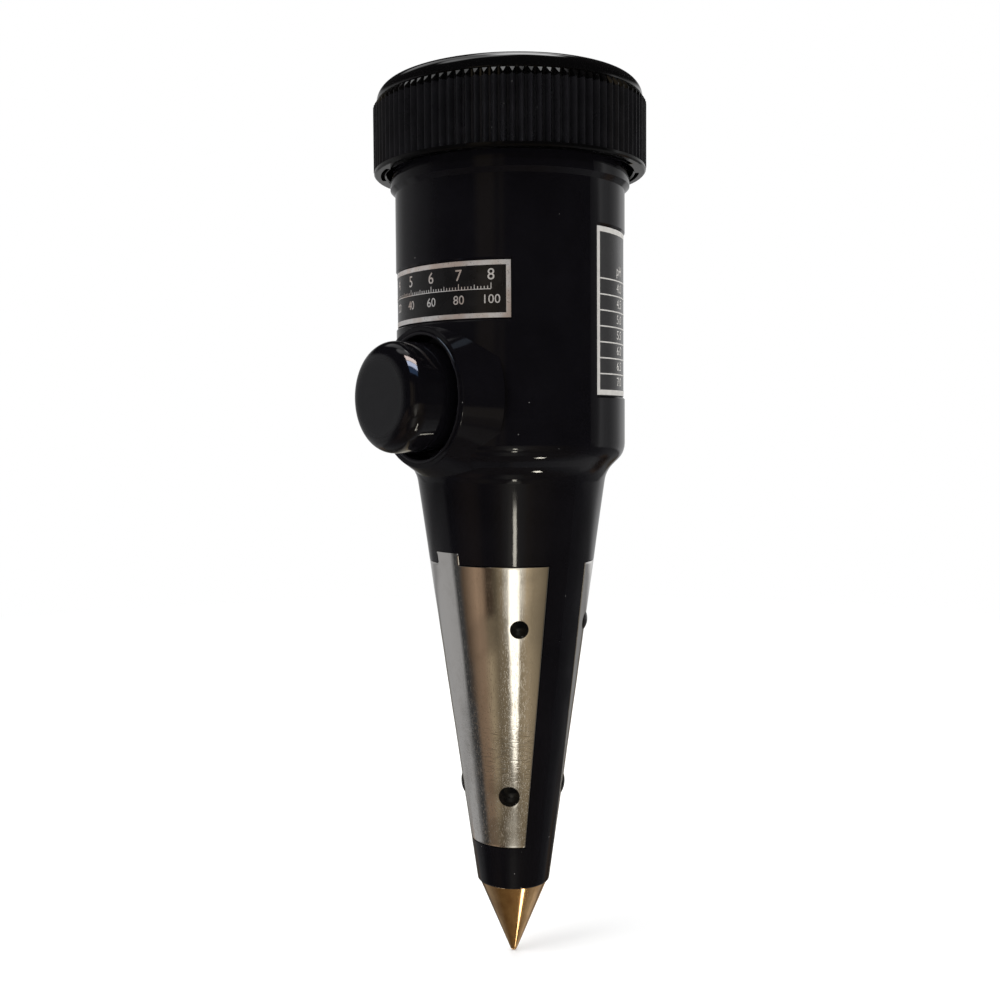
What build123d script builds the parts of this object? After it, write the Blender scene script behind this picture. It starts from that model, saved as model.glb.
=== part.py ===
from build123d import *
import math
import os

# Soil pH and moisture meter, pushed into the ground by hand and read from above.
# Millimetres. Origin at the point of the tip, +Z up along the axis of the probe, and the
# push button faces -Y. Lengths below run up the axis, from the tip to the top of the bezel.

# Driving lengths along the axis
TIP_LENGTH = 14.0
PROBE_LENGTH = 76.4
SHOULDER_RISE = 3.4
BARREL_LENGTH = 46.9
BEAD_TO_BEZEL = 3.4
BEZEL_HEIGHT = 15.9

# Brass tip
TIP_R = 6.35
TIP_POINT_R = 0.67
STUD_R = 2.0
PLUG_LENGTH = 12.0
SEAL_R = 4.2
SEAL_SECTION_R = 0.5
LUG_T = 0.5
LUG_R = 3.6
LUG_TAIL_W = 2.0
LUG_TAIL_RISE = 5.0
NUT_FLATS = 7.0
NUT_H = 3.2
STUD_SPARE = 1.5

# Housing
PROBE_END_R = 6.68
SHOULDER_IN = 3.41
PROBE_WALL = 3.0
PROBE_END_FILLET = 0.35
SHOULDER_FOOT_FILLET = 5.0
SHOULDER_FILLET = 4.1
BARREL_R = 20.85
BARREL_WALL = 2.55
BEAD_PROUD = 0.85
BEAD_H = 2.2
NECK_PROUD = 0.65
NECK_WALL = 1.8
INNER_SHOULDER_RISE = 3.4
INNER_SHOULDER_DROP = 1.0

# Button boss
BUTTON_ABOVE_SHOULDER = 9.9
BOSS_PROUD = 0.25
BOSS_R = 12.3
BOSS_FLARE = 30
BOSS_EDGE = 0.3
BUTTON_WELL_GAP = 1.75
WELL_DEPTH = 6.1
WELL_FLOOR_T = 2.2
WELL_WALL = 1.5

# Push button
BUTTON_R = 9.6
BUTTON_PROUD = 8.4
BUTTON_EDGE = 3.2
BUTTON_FACE_T = 2.6
BUTTON_WALL = 1.6
BUTTON_SKIRT = 10.2
BUTTON_TRAVEL = 3.0
STEM_R = 3.0
STEM_PAST_WELL = 3.8
CLIP_T = 0.6
CLIP_R = 4.6
CLIP_GROOVE_DEPTH = 0.6
CLIP_MOUTH = 3.4
CLIP_PLAY = 0.1
BRIDGE_T = 0.5
BRIDGE_LENGTH = 13.0
BRIDGE_W = 3.2
BRIDGE_PEG_R = 1.25
BRIDGE_PEG_SPARE = 0.6
SPRING_R = 4.9
SPRING_WIRE_R = 0.35
SPRING_TURNS = 6

# Electrode plates, let into the probe
PLATE_T = 0.8
PLATE_LENGTH = 52.1
PLATE_TO_SHOULDER = 16.2
FRONT_GAP_TOP = 3.95
FRONT_GAP_BOTTOM = 3.25
REAR_GAP_TOP = 5.1
REAR_GAP_BOTTOM = 4.5
TAB_W = 6.0
TAB_H = 2.1
TAB_INSIDE = 3.0
PEG_UPPER_DROP = 11.2
PEG_LOWER_DROP = 42.2
FRONT_PEG_UPPER_INSET = 4.1
FRONT_PEG_LOWER_INSET = 3.15
REAR_PEG_UPPER_INSET = 3.4
REAR_PEG_LOWER_INSET = 2.6
PEG_UPPER_R = 1.65
PEG_LOWER_R = 1.9
PEG_CROWN = 0.45
PEG_STEM_R = 0.9
PEG_STEM_LENGTH = 1.3

# Printed plates, let into the barrel
SIGN_T = 0.35
SIGN_SUNK = 0.25
SIGN_RECESS_BEVEL = 0.35
NAMEPLATE_H = 9.7
NAMEPLATE_ABOVE_BOSS = 0.7
NAMEPLATE_HALF_ANGLE = 49.65
TABLE_H = 29.0
TABLE_BELOW_BEAD = 7.85
TABLE_HALF_ANGLE = 85.2

# Bezel, window and thread
BEZEL_WALL = 2.3
BEZEL_LIP_T = 2.5
BEZEL_LIP_W = 4.0
BEZEL_LIP_BEVEL = 1.0
BEZEL_RIM_ROUND = 2.9
RIB_COUNT = 100
BEZEL_RIM_STEP = 0.5
BEZEL_RIM_BAND = 0.1
RIB_HEIGHT = 1.0
RIB_FOOT_W = 1.0
RIB_CREST_W = 0.12
RIB_TOP_SLOPE = 1.1
RIB_FOOT_SLOPE = 0.7
POCKET_COUNT = 8
POCKET_ANGLE = 26
POCKET_START = 13
POCKET_W = 0.7
POCKET_DEPTH = 2.2
WINDOW_T = 2.0
WINDOW_INSET = 0.1
WINDOW_EDGE = 0.3
GASKET_T = 0.5
GASKET_W = 2.8
THREAD_PITCH = 3.0
THREAD_TURNS = 2
THREAD_DEPTH = 0.7
THREAD_ROOT_W = 1.3
THREAD_CREST_W = 0.7
THREAD_PLAY = 0.2
THREAD_BELOW_NECK = 7.5

# Meter movement
SPACER_H = 4.6
SPACER_W = 2.5
DIAL_T = 0.4
FRAME_FLANGE_T = 1.8
FRAME_WALL = 1.6
FRAME_FLOOR_T = 1.6
YOKE_R = 10.0
YOKE_WALL_GAP = 1.4
YOKE_BORE_R = 7.8
YOKE_H = 10.0
YOKE_BELOW_DIAL = 3.0
CORE_R = 5.4
CORE_SHORT = 0.7
CORE_STAY_H = 2.0
CORE_STAY_W = 2.4
COIL_CORE_GAP = 0.6
COIL_W = 2.4
FORMER_T = 0.3
WINDING_T = 0.9
SWING = 90
REST_ANGLE = 135
HUB_R = 1.6
HUB_H = 0.8
SHAFT_R = 0.45
PIVOT_R = 0.2
JEWEL_R = 1.1
JEWEL_H = 1.7
JEWEL_STANDS_OUT = 0.5
JEWEL_CUP = 0.8
JEWEL_SLOT_W = 0.4
JEWEL_SLOT_DEPTH = 0.4
PIVOT_END_GAP = 0.2
POINTER_ABOVE_DIAL = 1.0
POINTER_T = 0.3
POINTER_LENGTH = 15.2
POINTER_ROOT_W = 0.9
POINTER_TIP_W = 0.3
POINTER_TAIL = 4.6
POINTER_ARM = 3.4
POINTER_HUB_R = 1.3
WEIGHT_R = 0.3
WEIGHT_L = 1.4
HAIRSPRING_INNER_R = 0.95
HAIRSPRING_PITCH = 0.56
HAIRSPRING_TURNS = 4
HAIRSPRING_STRIP = 0.1
HAIRSPRING_H = 0.4
HAIRSPRING_LIFT = 0.4
COLLET_R = 0.75
STUD_POST_R = 0.3
STOCK_BRIDGE_T = 1.0
STOCK_BRIDGE_W = 4.0
STOCK_BRIDGE_OVERHANG = 1.6
PILLAR_R = 1.0
SMALL_SCREW_R = 0.6
SMALL_SCREW_HEAD_R = 1.2
SMALL_SCREW_HEAD_H = 0.7
SMALL_SCREW_GRIP = 2.4
POST_R = 1.1
FLOOR_CLEARANCE = 1.4
DIAL_SLOT_W = 4.6
DIAL_SCREW_INSET = 1.6
DIAL_SCREW_ANGLE = 45
DIAL_BOSS_R = 1.9
DIAL_BOSS_H = 2.4
DIAL_SCREW_R = 0.8
DIAL_SCREW_HEAD_R = 1.5
DIAL_SCREW_HEAD_H = 0.8
DIAL_SCREW_SLOT_W = 0.4
DIAL_SCREW_SLOT_DEPTH = 0.4
STOP_R = 0.4
STOP_OUT = 9.0
STOP_H = 1.6
TERMINAL_X = 6.0
TERMINAL_Y = 9.0
TERMINAL_R = 1.0
TERMINAL_FLANGE_R = 1.8
TERMINAL_FLANGE_T = 0.8
TERMINAL_PIN_R = 0.6
TERMINAL_PIN_H = 2.6

# Circuit board and leads
BOARD_T = 1.6
BOARD_ABOVE_WELL = 1.5
BOARD_EDGE_GAP = 0.6
STANDOFF_R = 2.2
STANDOFF_SINK = 0.3
STANDOFF_H = 20.0
BOARD_SCREW_R = 0.9
BOARD_SCREW_L = 6.0
BOARD_SCREW_HEAD_R = 1.6
BOARD_SCREW_HEAD_H = 1.3
RESISTOR_R = 1.2
RESISTOR_L = 6.5
RESISTOR_LEG_R = 0.3
RESISTOR_LEG_OUT = 1.5
RESISTOR_LIFT = 1.8
RESISTOR_ROWS = (-1.0, 3.0)
RESISTOR_TO_SCREW = 3.4
CONTACT_T = 0.5
CONTACT_W = 3.0
CONTACT_IN = 3.0
CONTACT_DROP = 3.0
CONTACT_PIN_W = 1.6
CONTACT_PIN_H = 0.6
LEAD_R = 0.6

# Clearances
FIT = 0.05
RUN = 0.06
SEAT = 0.1
LOOSE = 0.2
TURN_GAP = 0.3

# Levels up the axis
probe_top_z = TIP_LENGTH + PROBE_LENGTH
shoulder_z = probe_top_z + SHOULDER_RISE
bead_z = shoulder_z + BARREL_LENGTH
bezel_z = bead_z + BEAD_TO_BEZEL
top_z = bezel_z + BEZEL_HEIGHT
window_top_z = top_z - BEZEL_LIP_T
window_z = window_top_z - WINDOW_T
neck_top_z = window_z - GASKET_T
dial_top_z = neck_top_z - SPACER_H
dial_z = dial_top_z - DIAL_T
ledge_z = dial_z - FRAME_FLANGE_T
plug_top_z = TIP_LENGTH + PLUG_LENGTH
button_z = shoulder_z + BUTTON_ABOVE_SHOULDER
well_r = BUTTON_R + BUTTON_WELL_GAP
board_z = button_z + well_r + WELL_WALL + BOARD_ABOVE_WELL
board_top_z = board_z + BOARD_T

# Radii from the axis, and distances out from it along the button
probe_top_r = BARREL_R - SHOULDER_IN
barrel_bore_r = BARREL_R - BARREL_WALL
bead_r = BARREL_R + BEAD_PROUD
neck_r = BARREL_R + NECK_PROUD
neck_bore_r = neck_r - NECK_WALL
skirt_bore_r = neck_r + THREAD_DEPTH + THREAD_PLAY
bezel_r = skirt_bore_r + BEZEL_WALL
window_r = neck_r - WINDOW_INSET
bezel_lip_r = window_r - BEZEL_LIP_W
boss_face = BARREL_R + BOSS_PROUD
well_floor = boss_face - WELL_DEPTH
well_inner = well_floor - WELL_FLOOR_T
button_face = boss_face + BUTTON_PROUD
stem_end = well_inner - STEM_PAST_WELL

# Slope of the probe, and its outer radius at a height
probe_slope = (probe_top_r - PROBE_END_R) / PROBE_LENGTH
probe_tilt = math.atan(probe_slope)


def probe_r(z):
    return PROBE_END_R + probe_slope * (z - TIP_LENGTH)


def meridian(angle):
    """Plane through the axis: its x runs out at this angle from +X, its y runs up."""
    a = math.radians(angle)
    return Plane(
        origin=(0, 0, 0),
        x_dir=(math.cos(a), math.sin(a), 0),
        z_dir=(math.sin(a), -math.cos(a), 0),
    )


def polar(radius, angle, center_y=0.0):
    a = math.radians(angle)
    return (radius * math.cos(a), center_y + radius * math.sin(a))


# Ways that a cylinder stands on a spot: rising from it or hanging from it
up = (Align.CENTER, Align.CENTER, Align.MIN)
down = (Align.CENTER, Align.CENTER, Align.MAX)

os.makedirs("parts", exist_ok=True)

# Electrode plates and the pockets that take them

plate_top_z = probe_top_z - PLATE_TO_SHOULDER
plate_z = plate_top_z - PLATE_LENGTH
tab_top_z = plate_top_z + TAB_H
tab_inner_y = probe_r(tab_top_z) - PROBE_WALL - TAB_INSIDE


def electrode_form(side, gap_top, gap_bottom, depth, grow):
    """Plate outline on the probe: side is -1 at the front and 1 at the rear."""
    low_z = plate_z - grow
    high_z = plate_top_z + grow
    far = side * 2 * probe_top_r
    with BuildPart() as form:
        with BuildSketch(Plane.YZ):
            with BuildLine():
                Polyline(
                    (far, low_z),
                    (side * (gap_bottom - grow), low_z),
                    (side * (gap_top - grow), high_z),
                    (far, high_z),
                    close=True,
                )
            make_face()
        extrude(amount=2 * probe_top_r, both=True)
        with Locations((0, 0, plate_top_z)):
            Box(
                TAB_W + 2 * grow,
                2 * probe_top_r,
                TAB_H + grow,
                align=(Align.CENTER, Align.MAX if side < 0 else Align.MIN, Align.MIN),
            )
        with BuildSketch(Plane.XZ):
            with BuildLine():
                Polyline(
                    (probe_r(low_z) - depth, low_z),
                    (probe_r(low_z), low_z),
                    (probe_r(tab_top_z + grow), tab_top_z + grow),
                    (probe_r(tab_top_z + grow) - depth, tab_top_z + grow),
                    close=True,
                )
            make_face()
        revolve(axis=Axis.Z, mode=Mode.INTERSECT)
        with Locations((0, side * (probe_r(tab_top_z) - depth / 2), tab_top_z + grow)):
            Box(
                TAB_W + 2 * grow,
                probe_r(tab_top_z) - depth / 2 - tab_inner_y,
                PLATE_T + 2 * grow,
                align=(Align.CENTER, Align.MIN if side < 0 else Align.MAX, Align.MAX),
            )
    return form.part


def plate_pegs(side, gap_top, gap_bottom, insets):
    """One plate's pegs: planes on the probe's surface, this far in from the plate's edge, and radii."""
    pegs = []
    rows = ((PEG_UPPER_DROP, PEG_UPPER_R), (PEG_LOWER_DROP, PEG_LOWER_R))
    for (drop, head_r), inset in zip(rows, insets):
        z = plate_top_z - drop
        r = probe_r(z)
        edge_y = gap_bottom + (gap_top - gap_bottom) * (z - plate_z) / PLATE_LENGTH
        angle = math.acos((edge_y + inset) / r)
        for turn in (-angle, angle):
            a = side * math.pi / 2 + turn
            out = math.cos(probe_tilt)
            face = Plane(
                origin=(r * math.cos(a), r * math.sin(a), z),
                z_dir=(out * math.cos(a), out * math.sin(a), -math.sin(probe_tilt)),
            )
            pegs.append((face, head_r))
    return pegs


front_insets = (FRONT_PEG_UPPER_INSET, FRONT_PEG_LOWER_INSET)
rear_insets = (REAR_PEG_UPPER_INSET, REAR_PEG_LOWER_INSET)
plate_sides = {
    "front_electrode": (-1, FRONT_GAP_TOP, FRONT_GAP_BOTTOM, front_insets),
    "rear_electrode": (1, REAR_GAP_TOP, REAR_GAP_BOTTOM, rear_insets),
}
pockets = []
all_pegs = []
for side, gap_top, gap_bottom, insets in plate_sides.values():
    pockets.append(electrode_form(side, gap_top, gap_bottom, PLATE_T + SEAT, SEAT))
    all_pegs += plate_pegs(side, gap_top, gap_bottom, insets)

for plate_name, (side, gap_top, gap_bottom, insets) in plate_sides.items():
    blank = electrode_form(side, gap_top, gap_bottom, PLATE_T, 0)
    with BuildPart() as electrode:
        add(blank)
        for face, head_r in plate_pegs(side, gap_top, gap_bottom, insets):
            with Locations(face):
                Cylinder(head_r + SEAT, 4 * PLATE_T, mode=Mode.SUBTRACT)
    electrode.part.label = plate_name
    export_step(electrode.part, f"parts/{plate_name}.step")

with BuildPart() as electrode_pegs:
    peg_end = -PLATE_T - PEG_STEM_LENGTH
    for face, head_r in all_pegs:
        dome_r = (head_r**2 + PEG_CROWN**2) / (2 * PEG_CROWN)
        with BuildSketch(Plane(origin=face.origin, x_dir=face.x_dir, z_dir=-face.y_dir)):
            with BuildLine():
                dome = RadiusArc((head_r, 0), (0, PEG_CROWN), -dome_r)
                Polyline(
                    dome @ 1,
                    (0, peg_end),
                    (PEG_STEM_R, peg_end),
                    (PEG_STEM_R, -PLATE_T),
                    (head_r, -PLATE_T),
                    dome @ 0,
                )
            make_face()
        revolve(axis=Axis(face.origin, face.z_dir))
electrode_pegs.part.label = "electrode_pegs"
export_step(electrode_pegs.part, "parts/electrode_pegs.step")

# Housing: probe cone, shoulder, barrel, bead and threaded neck in one moulding

bead_top_z = bead_z + BEAD_H
thread_z = neck_top_z - THREAD_BELOW_NECK
thread_height = THREAD_PITCH * THREAD_TURNS
standoff_angles = (90, 210, 330)
standoff_out = barrel_bore_r - STANDOFF_R + STANDOFF_SINK
standoff_spots = [polar(standoff_out, a) for a in standoff_angles]
button_axis = Axis((0, 0, button_z), (0, -1, 0))
button_plane = Plane(origin=(0, 0, button_z), x_dir=(1, 0, 0), z_dir=(0, -1, 0))
button_section = Plane(origin=(0, 0, button_z), x_dir=(0, 0, 1), z_dir=(1, 0, 0))
boss_root_r = BOSS_R + WELL_DEPTH * math.tan(math.radians(BOSS_FLARE))
barrel_floor_z = shoulder_z + INNER_SHOULDER_RISE


def thread_ridge(root_r, crest_r, start_z, turn):
    """Helical ridge of trapezoid section from root_r to crest_r, begun at this turn."""
    reach = crest_r - root_r
    sink = math.copysign(TURN_GAP, reach)
    with BuildPart() as ridge:
        with BuildLine() as coil:
            Helix(THREAD_PITCH, thread_height, root_r, center=(0, 0, start_z))
        begin = coil.line @ 0
        with BuildSketch(Plane(origin=begin, x_dir=(1, 0, 0), z_dir=coil.line % 0)):
            with BuildLine():
                Polyline(
                    (-sink, -THREAD_ROOT_W / 2),
                    (reach, -THREAD_CREST_W / 2),
                    (reach, THREAD_CREST_W / 2),
                    (-sink, THREAD_ROOT_W / 2),
                    close=True,
                )
            make_face()
        sweep(path=coil.line, is_frenet=True)
    return ridge.part.rotate(Axis.Z, turn)


neck_ridge = thread_ridge(neck_r, neck_r + THREAD_DEPTH, thread_z, 0)

# Printed plates: the way each faces, half its spread round the barrel, its top and its height
nameplate_top_z = button_z + BOSS_R + NAMEPLATE_ABOVE_BOSS + NAMEPLATE_H
sign_bands = {
    "nameplate": (-90, NAMEPLATE_HALF_ANGLE, nameplate_top_z, NAMEPLATE_H),
    "table_plate": (90, TABLE_HALF_ANGLE, bead_z - TABLE_BELOW_BEAD, TABLE_H),
}
sign_r = BARREL_R - SIGN_SUNK - SIGN_T
sign_play = math.degrees(SEAT / BARREL_R)


def sign_recess(facing, half_angle, sign_top_z, height):
    """Shallow bay for a printed plate, with its upper and lower edges bevelled."""
    high_z = sign_top_z + SEAT
    low_z = sign_top_z - height - SEAT
    lip_r = BARREL_R - SIGN_RECESS_BEVEL
    with BuildPart() as recess:
        with BuildSketch(meridian(facing - half_angle - sign_play)):
            with BuildLine():
                Polyline(
                    (sign_r - FIT, high_z),
                    (lip_r, high_z),
                    (BARREL_R, high_z + SIGN_RECESS_BEVEL),
                    (BARREL_R + FIT, high_z + SIGN_RECESS_BEVEL),
                    (BARREL_R + FIT, low_z - SIGN_RECESS_BEVEL),
                    (BARREL_R, low_z - SIGN_RECESS_BEVEL),
                    (lip_r, low_z),
                    (sign_r - FIT, low_z),
                    close=True,
                )
            make_face()
        revolve(axis=Axis.Z, revolution_arc=2 * (half_angle + sign_play))
    return recess.part


sign_recesses = [sign_recess(*band) for band in sign_bands.values()]

with BuildPart() as boss:
    with BuildSketch(button_section):
        with BuildLine():
            Polyline(
                (0, well_floor),
                (boss_root_r, well_floor),
                (BOSS_R, boss_face),
                (0, boss_face),
                close=True,
            )
        make_face()
    revolve(axis=button_axis)
    with Locations((0, 0, button_z)):
        Cylinder(barrel_bore_r, 3 * boss_root_r, mode=Mode.SUBTRACT)

with BuildPart() as housing:
    with BuildSketch(Plane.XZ) as housing_section:
        with BuildLine():
            Polyline(
                (STUD_R + FIT, TIP_LENGTH),
                (PROBE_END_R, TIP_LENGTH),
                (probe_top_r, probe_top_z),
                (BARREL_R, shoulder_z),
                (BARREL_R, bead_z),
                (bead_r, bead_z + bead_r - BARREL_R),
                (bead_r, bead_top_z),
                (neck_r, bead_top_z),
                (neck_r, neck_top_z),
                (neck_bore_r, neck_top_z),
                (neck_bore_r, ledge_z),
                (barrel_bore_r, ledge_z),
                (barrel_bore_r, barrel_floor_z),
                (probe_top_r - PROBE_WALL, probe_top_z - INNER_SHOULDER_DROP),
                (probe_r(plug_top_z) - PROBE_WALL, plug_top_z),
                (STUD_R + FIT, plug_top_z),
                close=True,
            )
        make_face()
        corners = housing_section.vertices()
        fillet(corners.sort_by_distance((PROBE_END_R, TIP_LENGTH))[0], PROBE_END_FILLET)
        corners = housing_section.vertices()
        fillet(corners.sort_by_distance((probe_top_r, probe_top_z))[0], SHOULDER_FOOT_FILLET)
        corners = housing_section.vertices()
        fillet(corners.sort_by_distance((BARREL_R, shoulder_z))[0], SHOULDER_FILLET)
    revolve(axis=Axis.Z)
    add(boss.part)
    with Locations(button_plane.offset(well_inner)):
        Cylinder(well_r + WELL_WALL, WELL_FLOOR_T + WELL_DEPTH / 2, align=up)
    with Locations(button_plane.offset(well_floor)):
        Cylinder(well_r, 2 * WELL_DEPTH, align=up, mode=Mode.SUBTRACT)
    rim = housing.edges().filter_by(GeomType.CIRCLE).filter_by_position(Axis.Y, -boss_face, -boss_face)
    fillet(rim, BOSS_EDGE)
    with Locations(button_plane.offset(well_inner)):
        Cylinder(STEM_R + RUN, 3 * WELL_FLOOR_T, mode=Mode.SUBTRACT)
    with Locations(*[(x, y, board_z) for x, y in standoff_spots]):
        Cylinder(STANDOFF_R, STANDOFF_H, align=down)
        Cylinder(
            BOARD_SCREW_R + FIT,
            BOARD_SCREW_L,
            align=down,
            mode=Mode.SUBTRACT,
        )
    for bay in pockets + sign_recesses:
        add(bay, mode=Mode.SUBTRACT)
    for face, head_r in all_pegs:
        with Locations(face.offset(-PLATE_T)):
            Cylinder(
                PEG_STEM_R + FIT,
                PEG_STEM_LENGTH + SEAT,
                align=down,
                mode=Mode.SUBTRACT,
            )
    add(neck_ridge)
housing.part.label = "housing"
export_step(housing.part, "parts/housing.step")

# Brass tip, its seal, lug and nut

lug_top_z = plug_top_z + LUG_T
nut_top_z = lug_top_z + NUT_H
stud_top_z = nut_top_z + STUD_SPARE
tip_reach = math.hypot(TIP_R, TIP_LENGTH - TIP_POINT_R)
tip_half_angle = math.degrees(
    math.acos(TIP_POINT_R / tip_reach) - math.atan2(TIP_LENGTH - TIP_POINT_R, TIP_R)
)
seal_groove_r = SEAL_SECTION_R + SEAT

with BuildPart() as probe_tip:
    with BuildSketch(Plane.XZ):
        with BuildLine():
            point = CenterArc((0, TIP_POINT_R), TIP_POINT_R, -90, 90 - tip_half_angle)
            Polyline(
                point @ 1,
                (TIP_R, TIP_LENGTH),
                (SEAL_R + seal_groove_r, TIP_LENGTH),
                (SEAL_R + seal_groove_r, TIP_LENGTH - 2 * SEAL_SECTION_R - FIT),
                (SEAL_R - seal_groove_r, TIP_LENGTH - 2 * SEAL_SECTION_R - FIT),
                (SEAL_R - seal_groove_r, TIP_LENGTH),
                (STUD_R, TIP_LENGTH),
                (STUD_R, stud_top_z),
                (0, stud_top_z),
                (0, 0),
            )
        make_face()
    revolve(axis=Axis.Z)
probe_tip.part.label = "probe_tip"
export_step(probe_tip.part, "parts/probe_tip.step")

with BuildPart() as tip_seal:
    with Locations((0, 0, TIP_LENGTH - SEAL_SECTION_R - FIT / 2)):
        Torus(SEAL_R, SEAL_SECTION_R)
tip_seal.part.label = "tip_seal"
export_step(tip_seal.part, "parts/tip_seal.step")

lug_tail_x = probe_r(plug_top_z) - PROBE_WALL - TURN_GAP
with BuildPart() as tip_lug:
    with BuildSketch(Plane.XY.offset(plug_top_z)):
        Circle(LUG_R)
        with Locations((lug_tail_x, 0)):
            Rectangle(lug_tail_x, LUG_TAIL_W, align=(Align.MAX, Align.CENTER))
        Circle(STUD_R + FIT, mode=Mode.SUBTRACT)
    extrude(amount=LUG_T)
    with Locations((lug_tail_x, 0, plug_top_z)):
        Box(LUG_T, LUG_TAIL_W, LUG_TAIL_RISE, align=(Align.MAX, Align.CENTER, Align.MIN))
tip_lug.part.label = "tip_lug"
export_step(tip_lug.part, "parts/tip_lug.step")

with BuildPart() as tip_nut:
    with BuildSketch(Plane.XY.offset(lug_top_z)):
        RegularPolygon(NUT_FLATS / 2, 6, major_radius=False)
        Circle(STUD_R + FIT, mode=Mode.SUBTRACT)
    extrude(amount=NUT_H)
tip_nut.part.label = "tip_nut"
export_step(tip_nut.part, "parts/tip_nut.step")

# Printed plates, bent to lie in their recesses

for sign_name, (facing, half_angle, sign_top_z, height) in sign_bands.items():
    with BuildPart() as sign:
        with BuildSketch(meridian(facing - half_angle)):
            with Locations((sign_r, sign_top_z)):
                Rectangle(SIGN_T, height, align=(Align.MIN, Align.MAX))
        revolve(axis=Axis.Z, revolution_arc=2 * half_angle)
    sign.part.label = sign_name
    export_step(sign.part, f"parts/{sign_name}.step")

# Push button with its stem, clip, contact bridge and return spring

button_inner = button_face - BUTTON_FACE_T
skirt_end = button_face - BUTTON_SKIRT
clip_out = well_inner - CLIP_PLAY
groove_in = clip_out - CLIP_T - FIT
groove_out = clip_out + FIT
groove_r = STEM_R - CLIP_GROOVE_DEPTH
bridge_in = stem_end - BRIDGE_T

with BuildPart() as push_button:
    with BuildSketch(button_section) as button_half:
        with BuildLine():
            Polyline(
                (0, button_face),
                (BUTTON_R, button_face),
                (BUTTON_R, skirt_end),
                (BUTTON_R - BUTTON_WALL, skirt_end),
                (BUTTON_R - BUTTON_WALL, button_inner),
                (STEM_R, button_inner),
                (STEM_R, groove_out),
                (groove_r, groove_out),
                (groove_r, groove_in),
                (STEM_R, groove_in),
                (STEM_R, stem_end),
                (BRIDGE_PEG_R, stem_end),
                (BRIDGE_PEG_R, bridge_in - BRIDGE_PEG_SPARE),
                (0, bridge_in - BRIDGE_PEG_SPARE),
                close=True,
            )
        make_face()
        corners = button_half.vertices()
        fillet(corners.sort_by_distance((BUTTON_R, button_face))[0], BUTTON_EDGE)
    revolve(axis=button_axis)
push_button.part.label = "push_button"
export_step(push_button.part, "parts/push_button.step")

with BuildPart() as button_clip:
    with BuildSketch(button_plane.offset(clip_out - CLIP_T)):
        Circle(CLIP_R)
        Circle(groove_r + FIT, mode=Mode.SUBTRACT)
        Rectangle(CLIP_MOUTH, CLIP_R + 1, align=(Align.CENTER, Align.MAX), mode=Mode.SUBTRACT)
    extrude(amount=CLIP_T)
button_clip.part.label = "button_clip"
export_step(button_clip.part, "parts/button_clip.step")

with BuildPart() as contact_bridge:
    with BuildSketch(button_plane.offset(bridge_in)):
        SlotOverall(BRIDGE_LENGTH, BRIDGE_W)
        Circle(BRIDGE_PEG_R + FIT, mode=Mode.SUBTRACT)
    extrude(amount=BRIDGE_T)
contact_bridge.part.label = "contact_bridge"
export_step(contact_bridge.part, "parts/contact_bridge.step")

spring_low = well_floor + SPRING_WIRE_R + FIT
spring_high = button_inner - SPRING_WIRE_R - FIT
spring_pitch = (spring_high - spring_low) / SPRING_TURNS


def spring_point(turns):
    a = 2 * math.pi * turns
    out = spring_low + spring_pitch * turns
    return Vector(SPRING_R * math.cos(a), -out, button_z + SPRING_R * math.sin(a))


def spring_heading(turns):
    a = 2 * math.pi * turns
    run = 2 * math.pi * SPRING_R
    return Vector(-run * math.sin(a), -spring_pitch, run * math.cos(a)).normalized()


def biarc_joint(p0, t0, p1, t1):
    """Point where two arcs meet that leave p0 along t0 and reach p1 along t1."""
    chord = p1 - p0
    both = t0 + t1
    spread = 2 * (1 - t0.dot(t1))
    along = chord.dot(both)
    reach = (math.sqrt(along * along + spread * chord.dot(chord)) - along) / spread
    first = p0 + t0 * reach
    second = p1 - t1 * reach
    return (first + second) * 0.5, (second - first).normalized()


with BuildPart() as return_spring:
    with BuildLine() as spring_line:
        for half in range(2 * SPRING_TURNS):
            a_point = spring_point(half / 2)
            b_point = spring_point((half + 1) / 2)
            a_head = spring_heading(half / 2)
            b_head = spring_heading((half + 1) / 2)
            joint, joint_head = biarc_joint(a_point, a_head, b_point, b_head)
            TangentArc(a_point, joint, tangent=a_head)
            TangentArc(joint, b_point, tangent=joint_head)
    with BuildSketch(Plane(origin=spring_line.line @ 0, z_dir=spring_line.line % 0)):
        Circle(SPRING_WIRE_R)
    sweep(path=spring_line.line)
return_spring.part.label = "return_spring"
export_step(return_spring.part, "parts/return_spring.step")
print(f"return spring, least gap between turns {spring_pitch - 2 * SPRING_WIRE_R:.2f} mm")

# Bezel ring, window and gasket

bezel_core_r = bezel_r - RIB_HEIGHT
bezel_rim_r = bezel_r - BEZEL_RIM_STEP
rim_foot_z = top_z - BEZEL_RIM_ROUND - BEZEL_RIM_BAND
rib_top_z = rim_foot_z + SEAT
rib_root_r = bezel_core_r - SEAT
rib_root_half_w = RIB_FOOT_W / 2 + SEAT * (RIB_FOOT_W - RIB_CREST_W) / (2 * RIB_HEIGHT)
rib_past_crest = 1 + SEAT / RIB_HEIGHT
window_seat_z = neck_top_z + TURN_GAP
pocket_r = (skirt_bore_r + bezel_core_r) / 2
bezel_ridge = thread_ridge(
    skirt_bore_r, neck_r + THREAD_PLAY, thread_z - THREAD_PITCH / 2, 0
)

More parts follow.
